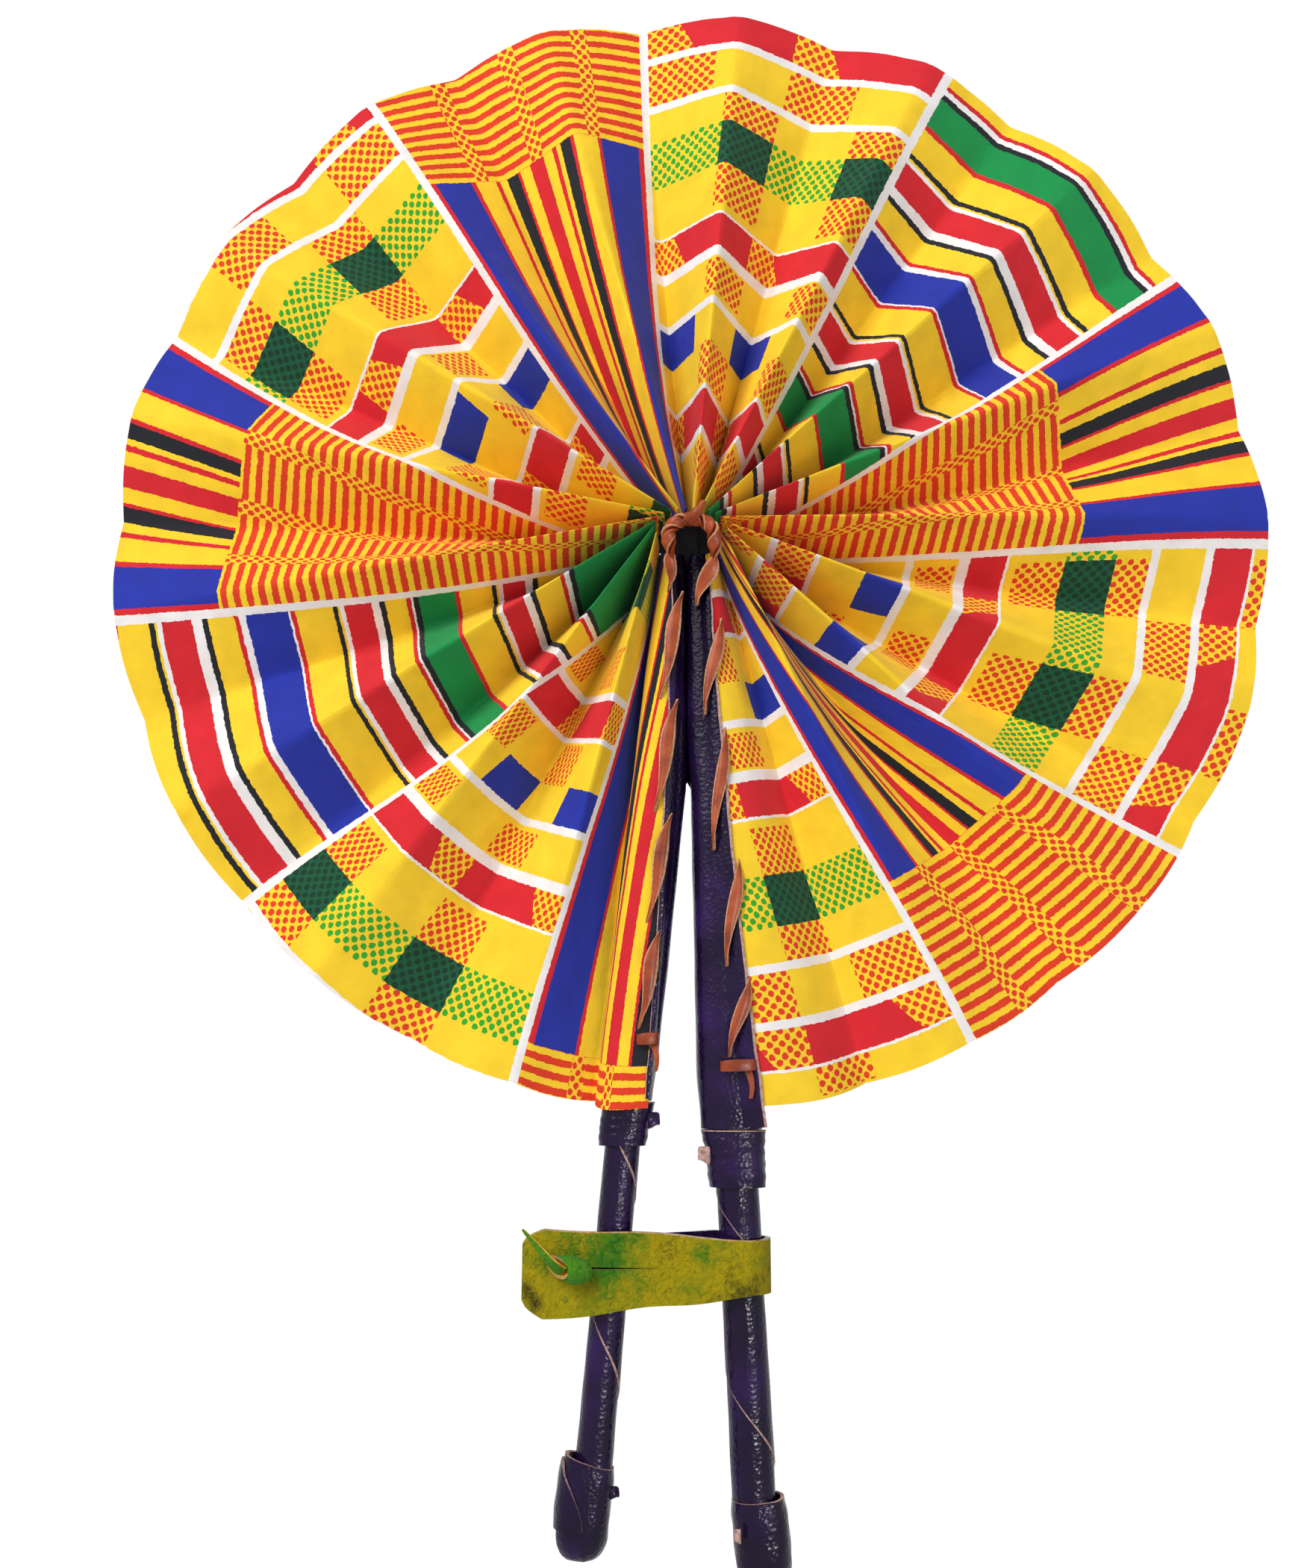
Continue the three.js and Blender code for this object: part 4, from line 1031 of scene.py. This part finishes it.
# lacing
lacing = {"thickness": 0.7, "rows": 22, "stations": (-1, -0.7, -0.3, 0.1, 0.5, 0.8, 1), "crown": 0.6,
          "lift": 0.95, "knotLift": 3.2, "bend": 0.5, "twist": 0.7, "widest": 0.4,
          "startSink": 1.5, "endSink": 1.2}
keeper = {"rows": 12, "columns": 5, "lift": 0.5, "arch": 1.5, "halfWidth": 1.35, "slant": 0.25,
          "tailRows": 8, "tailX": 0.6, "tailDrop": 1.0, "tailLength": 6.6, "tailHalfWidth": 0.85,
          "tailCurl": 0.9, "tailLift": 0.7, "thickness": 0.8}


def blade(start, end, width, frontAt, bend, startLift):
    # flat lace seen as a slanting blade: it comes up through the cloth at its start and dives in at its end
    rows, stations = lacing["rows"], lacing["stations"]
    points = []
    (x0, d0), (x1, d1) = start, end
    length = math.hypot(x1 - x0, d1 - d0)
    sideX, sideDrop = -(d1 - d0) / length, (x1 - x0) / length
    for r in range(rows):
        t = r / (rows - 1)
        tapered = 1 - 0.92 * ease((t - lacing["widest"]) / 0.62)
        half = width / 2 * (ease(clamp(t * 2.4 + 0.1)) if t < lacing["widest"] else tapered)
        cx = lerp(x0, x1, t) + bend * math.sin(2 * math.pi * t)
        cd = lerp(d0, d1, t)
        sink = lacing["startSink"] * (1 - clamp(t * 9)) + lacing["endSink"] * clamp((t - 0.93) * 14)
        sink -= startLift * (1 - ease(t * 1.1))
        for w in stations:
            x = cx + sideX * half * w
            drop = cd + sideDrop * half * w
            crown = lacing["crown"] * (1 - w * w) * half / (width / 2) + lacing["twist"] * w * (0.5 - t)
            points.append(Vector((x, -frontAt(drop) - lacing["lift"] - crown + sink, -drop)))
    return points, gridFaces(rows, len(stations))


def makeLacing(handle):
    name = handle["name"]
    points, faces = [], []
    for n, (x0, d0, x1, d1, width) in enumerate(handle["stitches"]):
        p, f = blade((x0, d0), (x1, d1), width, partial(clothFront, handle), lacing["bend"] * handle["side"],
                     0.0 if n else lacing["knotLift"])
        faces.extend(tuple(i + len(points) for i in face) for face in f)
        points.extend(p)
    strips = len(lacing["stations"]) - 1
    edgeFaces = [1 if f % strips in (0, strips - 1) else 0 for f in range(len(faces))]
    piece = addPiece(f"{name}_lace_stitches", points, faces, [tanLace, tanEdge], edgeFaces)
    thicken(piece, lacing["thickness"], rimMaterial=1)
    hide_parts(f"{name}_lacing")
    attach(piece, f"{name}_handle")


def makeKeeper(handle):
    # a turn of lace over the edge that holds the end, with its tail below
    name = handle["name"]
    middle, drop, reach = (handle["keeper"][key] for key in ("x", "drop", "reach"))
    rows, columns = keeper["rows"], keeper["columns"]
    front = -clothFront(handle, drop)
    points = []
    for r in range(rows):
        t = r / (rows - 1) * 2 - 1
        x = middle + reach * math.sin(t * math.pi / 2)
        y = front - keeper["lift"] - keeper["arch"] * math.cos(t * math.pi / 2) ** 0.7
        for c in range(columns):
            w = 2 * c / (columns - 1) - 1
            z = -drop + keeper["halfWidth"] * w * (1 - 0.15 * abs(t)) + keeper["slant"] * t
            points.append(Vector((x, y - 0.15 * (1 - w * w), z)))
    faces = gridFaces(rows, columns)
    first = len(points)
    for r in range(keeper["tailRows"]):
        t = r / (keeper["tailRows"] - 1)
        x = middle + keeper["tailX"] * reach + keeper["tailCurl"] * math.sin(2.4 * t)
        y = front - keeper["tailLift"] - 0.5 * math.sin(3 * t)
        for w in (-1, 0, 1):
            points.append(Vector((x + keeper["tailHalfWidth"] * w * (1 - 0.55 * t), y,
                                  -drop - keeper["tailDrop"] - keeper["tailLength"] * t)))
    faces += gridFaces(keeper["tailRows"], 3, first)
    piece = addPiece(f"{name}_lace_end", points, faces, [tanLace, tanEdge])
    thicken(piece, keeper["thickness"], rimMaterial=1)
    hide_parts(f"{name}_lace_keeper")
    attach(piece, f"{name}_handle")


for handle in handles:
    makeLacing(handle)
    makeKeeper(handle)
print("lacing made")


# lace over the hub
hubLace = {
    "path": [(-4.5, -7.6, -13.0), (-5.4, -10.2, -9.4), (-5.2, -11.2, -6.4), (-2.9, -11.3, -4.3),
             (0.5, -11.4, -3.6), (3.6, -11.3, -4.2), (5.9, -11.2, -6.6), (6.3, -10.4, -9.8),
             (6.3, -7.6, -13.6)],
    "tip": [(-0.8, -11.6, -4.6), (0.6, -13.2, -3.2), (1.8, -13.2, -1.2), (2.6, -12.4, 0.9)],
    "strandHalfWidth": 1.7, "strandHalfThickness": 0.8, "offset": 0.85, "twists": 2.9, "taper": 0.12,
    "steps": 110, "sides": 12, "tipSteps": 24, "tipPhase": 0.3, "tipTwists": 0.3,
}


def splinePoints(controls, steps):
    out = []
    n = len(controls)
    for s in range(steps + 1):
        f = s / steps * (n - 1)
        k = min(int(f), n - 2)
        t = f - k
        p0, p1, p2, p3 = (controls[clamp(k + d, 0, n - 1)] for d in (-1, 0, 1, 2))
        out.append(0.5 * (2 * p1 + (p2 - p0) * t + (2 * p0 - 5 * p1 + 4 * p2 - p3) * t * t
                          + (3 * p1 - p0 - 3 * p2 + p3) * t ** 3))
    return out


def laceStrand(path, phase, twists):
    # one flat strand that winds round the path; its two narrow sides are cut edges
    rings, frontWay = [], Vector((0, -1, 0))
    n = len(path)
    for i, p in enumerate(path):
        way = (path[min(i + 1, n - 1)] - path[max(i - 1, 0)]).normalized()
        frontWay = (frontWay - way * frontWay.dot(way)).normalized()
        sideWay = way.cross(frontWay)
        s = i / (n - 1)
        a = phase + 2 * math.pi * twists * s
        out = frontWay * math.cos(a) + sideWay * math.sin(a)
        flat = way.cross(out)
        size = ease(min(s, 1 - s) / hubLace["taper"]) * 0.75 + 0.25
        centre = p + out * hubLace["offset"] * size
        ring = []
        for j in range(hubLace["sides"]):
            b = 2 * math.pi * j / hubLace["sides"]
            ring.append(centre + flat * math.cos(b) * hubLace["strandHalfWidth"] * size
                        + out * math.sin(b) * hubLace["strandHalfThickness"] * size)
        rings.append(ring)
    return ringSolid(rings)


def makeHubLace():
    path = splinePoints([Vector(p) for p in hubLace["path"]], hubLace["steps"])
    tip = splinePoints([Vector(p) for p in hubLace["tip"]], hubLace["tipSteps"])
    strands = [(path, 0.0, hubLace["twists"]), (path, math.pi, hubLace["twists"]),
               (tip, hubLace["tipPhase"], hubLace["tipTwists"])]
    points, faces, marks = [], [], []
    for strand in strands:
        p, f = laceStrand(*strand)
        for number, face in enumerate(f):
            faces.append(tuple(i + len(points) for i in face))
            marks.append(1 if number % hubLace["sides"] in (0, hubLace["sides"] - 1)
                         and number < len(f) - 2 else 0)
        points += p
    piece = addPiece("hub_twisted_lace", points, faces, [tanLace, tanEdge], marks)
    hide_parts("hub_lace")
    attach(piece, "hub_link")


makeHubLace()
print("hub lace made")


# strap
strap = {"thickness": 1.2, "top": 180.4, "bottom": 193.2, "freeTop": 177.8, "freeBottom": 199.0,
         "freeX": -39.3, "hingeX": 14.2, "backX": -33.0, "inner": 5.75, "outer": 6.95,
         "buttonX": -27.7, "buttonDrop": 187.0, "eyeRadius": 1.9, "slitEndX": -5.3, "slitHalf": 0.28,
         "slitLength": 17, "lip": 0.34, "endShare": 0.6, "foldDrop": 185.9, "foldSteps": 24,
         "ripple": 0.35, "backRipple": 0.25, "lift": -0.5, "liftX": 6, "calmLength": 6,
         "backLowered": 2.6, "backRaised": 0.6, "loweredX": 6, "loweredLength": 16.5, "loweredMost": 1.7}


def strapEdge(x):
    t = (strap["hingeX"] - x) / (strap["hingeX"] - strap["freeX"])
    return (lerp(strap["top"], strap["freeTop"], t) + 0.35 * math.sin(x / 6),
            lerp(strap["bottom"], strap["freeBottom"], t) + 0.3 * math.sin(x / 4.5 + 1))


def strapOpening(x):
    # half height of the eye or of the slit that leads from it to the right
    eye = math.sqrt(max(0.0, strap["eyeRadius"] ** 2 - (x - strap["buttonX"]) ** 2))
    inSlit = strap["buttonX"] < x < strap["slitEndX"]
    slit = strap["slitHalf"] * clamp((strap["slitEndX"] - x) / strap["slitLength"]) if inSlit else 0.0
    return max(eye, slit)


def strapRun(stations, rows, endX, endLength, sag, lowered=0.0):
    # the strap in two halves that part at the eye and slit; a station is its x, its y and the x that sets
    # its edges
    points, faces, marks, lookup = [], [], [], {}

    def vertex(station, drop):
        x, y, along = stations[station]
        key = (station, round(drop, 3))
        if key not in lookup:
            lookup[key] = len(points)
            points.append(Vector((x, y + sag(along, drop), -drop)))
        return lookup[key]

    for i in range(len(stations) - 1):
        for half in (-1, 1):
            for r in range(rows):
                corner = []
                for station, t in ((i, r), (i + 1, r), (i + 1, r + 1), (i, r + 1)):
                    along = stations[station][2]
                    closing = clamp((along - endX) / endLength) ** 0.6
                    limit = strapEdge(along)[0 if half < 0 else 1]
                    if half < 0 and lowered:
                        past = (strap["loweredX"] - along) / strap["loweredLength"]
                        limit += lowered * clamp(past, 0, strap["loweredMost"]) - strap["backRaised"]
                    reach = (limit - strap["buttonDrop"]) * (strap["endShare"] + 0.4 * closing)
                    opening = half * strapOpening(along)
                    # the last row is a narrow lip along the edge; the flap's upper one is another material
                    share = t / rows if t != rows - 1 else 1 - strap["lip"] / abs(reach)
                    corner.append(vertex(station, strap["buttonDrop"] + lerp(opening, reach, share)))
                ordered = [c for n, c in enumerate(corner) if c not in corner[:n]]
                if len(ordered) >= 3:
                    faces.append(tuple(ordered))
                    marks.append(1 if half < 0 and r == rows - 1 else 0)
    return points, faces, marks


def straightStations(endX, depth, columns):
    # even places and, round the eye, places that follow its outline
    even = {round(lerp(strap["hingeX"], endX, i / columns), 3) for i in range(columns + 1)}
    eye = {round(strap["buttonX"] + strap["eyeRadius"] * math.cos(math.pi * i / 6), 3) for i in range(7)}
    return [(x, depth, x) for x in sorted(even | eye)]


def calmAtFold(x):
    return clamp((strap["hingeX"] - x) / strap["calmLength"])


def frontSag(x, drop):
    ripple = strap["ripple"] * uneven(x / 9, drop / 9, 4.2)
    lift = strap["lift"] * math.exp(-((x - strap["buttonX"] - strap["liftX"]) / 6) ** 2)
    return (ripple + lift) * calmAtFold(x)


def backSag(x, drop):
    return strap["backRipple"] * uneven(x / 8, drop / 8, 9.4) * calmAtFold(x)


def makeStrap():
    middle = strap["inner"] + strap["thickness"] / 2
    centre = stickX(fixedHandle, strap["foldDrop"])
    half = math.acos((strap["hingeX"] - centre) / middle)
    stations = straightStations(strap["freeX"], -middle, 64)
    for r in range(1, strap["foldSteps"] + 1):
        a = half * (2 * r / strap["foldSteps"] - 1)
        stations.append((centre + middle * math.cos(a), middle * math.sin(a), strap["hingeX"]))
    points, faces, marks = strapRun(stations, 12, strap["freeX"], 5.0, frontSag)
    piece = addPiece("strap_fold_and_slit_flap", points, faces, [suede, suedeEdge, leather], marks)
    thicken(piece, strap["thickness"], rimMaterial=1, backMaterial=2)
    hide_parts("strap_flap", "strap_band")
    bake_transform(piece)

    stations = straightStations(strap["backX"], middle, 54)
    points, faces, _ = strapRun(stations, 10, strap["backX"], 4.0, backSag, strap["backLowered"])
    piece = addPiece("strap_back_run", points, faces, [suede, leather, leather])
    thicken(piece, strap["thickness"], rimMaterial=1, backMaterial=2)
    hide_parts("strap_back")
    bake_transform(piece)


makeStrap()
print("strap made")


# rolled button
button = {"headHalfHeight": 3.1, "headHalfDepth": 2.9, "headRight": -22.7, "headLeft": -33.6,
          "cut": 5.4, "cutStart": 0.45, "leftSize": 0.84, "lap": 0.12, "headDrop": 0.4, "tilt": 1.1,
          "shankRadius": 1.5, "knobRadius": 3.4, "knobThickness": 1.7, "shankSides": 20,
          "tail": [(-29.6, 3.0, -187.4), (-32.2, 1.6, -185.2), (-35.2, 1.4, -181.8), (-38.9, 1.8, -177.9)],
          "tailWidth": 2.9, "tailTwist": 0.5, "tailThickness": 0.6}
headY = -strap["outer"] - clearance - button["headHalfDepth"]


def rollRing(t, size, sides, inset=0.0):
    # the roll's left end is cut away in front, so that its inside shows
    middle = -strap["buttonDrop"] - button["headDrop"] + button["tilt"] * t
    ring = []
    for j in range(sides):
        a = 2 * math.pi * j / sides
        grown = size * (1 + button["lap"] * ((j / sides + 0.35) % 1 - 0.5)) - inset
        cut = button["cut"] * ease((t - button["cutStart"]) / 0.55) * (0.5 - 0.5 * math.sin(a + 0.35))
        ring.append(Vector((lerp(button["headRight"], button["headLeft"], t) + cut,
                            headY + button["headHalfDepth"] * grown * math.sin(a),
                            middle + button["headHalfHeight"] * grown * math.cos(a))))
    return ring


def buttonShank():
    # the shank goes through the strap to the knob behind it; its profile is y and radius
    radius, knobRadius, knobY = button["shankRadius"], button["knobRadius"], strap["outer"] + clearance
    knobEnd = knobY + button["knobThickness"]
    profile = [(headY + 1.0, radius), (-strap["inner"], radius * 0.92), (0, radius * 0.85),
               (strap["inner"], radius), (knobY, radius * 1.1), (knobY + 0.1, knobRadius * 0.9),
               (knobY + 0.6, knobRadius), (knobEnd, knobRadius * 0.85), (knobEnd + 0.3, knobRadius * 0.3)]
    turns = [2 * math.pi * i / button["shankSides"] for i in range(button["shankSides"])]
    return ringSolid([[Vector((strap["buttonX"] + r * math.cos(a), y, -strap["buttonDrop"] + r * math.sin(a)))
                       for a in turns] for y, r in profile])


def makeButton():
    rows, sides, left = 26, 32, button["leftSize"]
    rings = []
    for r in range(rows + 1):
        t = r / rows
        size = math.sqrt(max(0.02, 1 - (1 - min(1, t * 2.2)) ** 2)) * lerp(1, left, ease(t * 2 - 1))
        rings.append(rollRing(t, size, sides))
    rings += [rollRing(t, size, sides, inset)
              for t, size, inset in ((1.0, left, 0.2), (0.8, left, 0.26), (0.55, 0.8, 0.4), (0.5, 0.5, 0.3))]
    points, faces = ringSolid(rings)
    # green outside, a raw rim at the cut end, then the inside down to its closed bottom
    marks = [0 if f // sides < rows else 2 if f // sides == rows else 1 for f in range(len(faces))]
    marks[-1], marks[-2] = 1, 0
    p, f = buttonShank()
    faces.extend(tuple(i + len(points) for i in face) for face in f)
    marks.extend([0] * len(f))
    points.extend(p)
    piece = addPiece("rolled_button", points, faces, [knotLeather, knotInside, suedeEdge], marks)
    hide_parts("strap_button")
    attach(piece, "strap_rear")


def makeTail():
    # the strip's end stands out of the roll as a long narrow tail, green outside, raw inside
    rows, columns = 16, 6
    front = headY - button["headHalfDepth"]
    line = splinePoints([Vector((x, front + y, z)) for x, y, z in button["tail"]], rows)
    points = []
    for r, p in enumerate(line):
        way = (line[min(r + 1, rows)] - line[max(r - 1, 0)]).normalized()
        across = way.cross(Vector((0, -1, 0))).normalized()
        turned = across * math.cos(button["tailTwist"]) + Vector((0, -1, 0)) * math.sin(button["tailTwist"])
        half = button["tailWidth"] / 2 * (1 - 0.88 * (r / rows) ** 1.6)
        for c in range(columns + 1):
            w = 2 * c / columns - 1
            points.append(p + turned * half * w + Vector((0, 0.5 * abs(w) * half, 0)))
    marks = [1 if f % columns == columns - 1 else 0 for f in range(rows * columns)]
    piece = addPiece("button_tail", points, gridFaces(rows + 1, columns + 1),
                     [knotLeather, knotInside, suedeEdge], marks)
    thicken(piece, button["tailThickness"], rimMaterial=2, backMaterial=1)
    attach(piece, "strap_rear")


makeButton()
makeTail()
print("button made")


# the sticks inside
core = {"topRadius": 1.0, "top": 16.0, "aboveCapFoot": 7, "sides": 24, "rows": 40, "knots": 0.04}


def makeStick(handle):
    name = handle["name"]
    rings = []
    sleeveFoot = handle["sleeve"][-1][0]
    for r in range(core["rows"] + 1):
        drop = lerp(core["top"], handle["cap"]["foot"] - core["aboveCapFoot"], r / core["rows"])
        grownUp = clamp((drop - core["top"]) / (sleeveFoot - core["top"]))
        radius = lerp(core["topRadius"], handle["footRadius"], grownUp)
        ring = []
        for i in range(core["sides"]):
            a = 2 * math.pi * i / core["sides"]
            grown = radius * (1 + core["knots"] * uneven(math.cos(a), math.sin(a), drop / 20))
            ring.append(Vector((stickX(handle, drop) + grown * math.cos(a), grown * math.sin(a), -drop)))
        rings.append(ring)
    piece = addPiece(f"{name}_wooden_stick", *ringSolid(rings), [stickWood])
    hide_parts(f"{name}_stick")
    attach(piece, f"{name}_handle")


for handle in handles:
    makeStick(handle)
print("sticks made")


# floor and light
studio = {
    "floorDrop": 0.002, "floorHalf": 2.0, "floorShare": 0.97, "floorGlow": 1.02, "worldLight": 0.21,
    "target": (0, 0, 0.15),
    "lamps": [("key", (-0.75, -1.1, 1.05), 0.9, 22.5, False), ("fill", (0.95, -1.0, 0.45), 1.1, 3.0, False),
              ("glint", (0.46, -1.0, -0.1), 0.22, 26.0, True), ("back", (0.2, 1.2, 0.9), 1.0, 3.0, False)],
}


def seenRays(tree):
    # 1 for rays of the camera, of reflections and of clear bodies: these see white, whatever the light is
    rays = addNode(tree, "ShaderNodeLightPath")
    seen = addNode(tree, "ShaderNodeMath", (rays, rays.node.outputs["Is Glossy Ray"]), operation="MAXIMUM")
    clear = rays.node.outputs["Is Transmission Ray"]
    return addNode(tree, "ShaderNodeMath", (seen, clear), operation="MAXIMUM")


def makeFloor():
    lowest = cadBox[0][2] - studio["floorDrop"]
    half = studio["floorHalf"]
    mesh = bpy.data.meshes.new("floor")
    corners = [(-half, -half, lowest), (half, -half, lowest), (half, half, lowest), (-half, half, lowest)]
    mesh.from_pydata(corners, [], [(0, 1, 2, 3)])
    floor = addObject("floor", mesh)
    material, tree, shader = newMaterial("matt white paper", Roughness=0.9, Specular_IOR_Level=0.1)
    add = partial(addNode, tree)
    shader.inputs["Base Color"].default_value = hexColor("#EDEDED")
    amount = add("ShaderNodeMath", (seenRays(tree), studio["floorShare"]), operation="MULTIPLY")
    glow = add("ShaderNodeEmission", (hexColor("#FFFFFF"), studio["floorGlow"]))
    surface = add("ShaderNodeMixShader", (amount, shader.outputs[0], glow))
    tree.links.new(surface, tree.nodes["Material Output"].inputs["Surface"])
    mesh.materials.append(material)


def makeWorld():
    world = bpy.data.worlds.new("studio")
    bpy.context.scene.world = world
    world.use_nodes = True
    tree = world.node_tree
    add = partial(addNode, tree)
    light = add("ShaderNodeBackground", (hexColor("#F6F8FF"), studio["worldLight"]))
    white = add("ShaderNodeBackground", (hexColor("#FFFFFF"), 1.0))
    surface = add("ShaderNodeMixShader", (seenRays(tree), light, white))
    tree.links.new(surface, tree.nodes["World Output"].inputs["Surface"])


def addLamp(name, place, size, power, onlyGloss):
    data = bpy.data.lights.new(name, "AREA")
    data.size = size
    data.energy = power
    lamp = addObject(name, data)
    lamp.visible_diffuse = not onlyGloss
    lamp.location = place
    aim = Vector(studio["target"]) - lamp.location
    lamp.rotation_euler = aim.to_track_quat("-Z", "Y").to_euler()


makeFloor()
makeWorld()
for lamp in studio["lamps"]:
    addLamp(*lamp)
bpy.context.scene.view_settings.view_transform = "Standard"
print("studio lit")
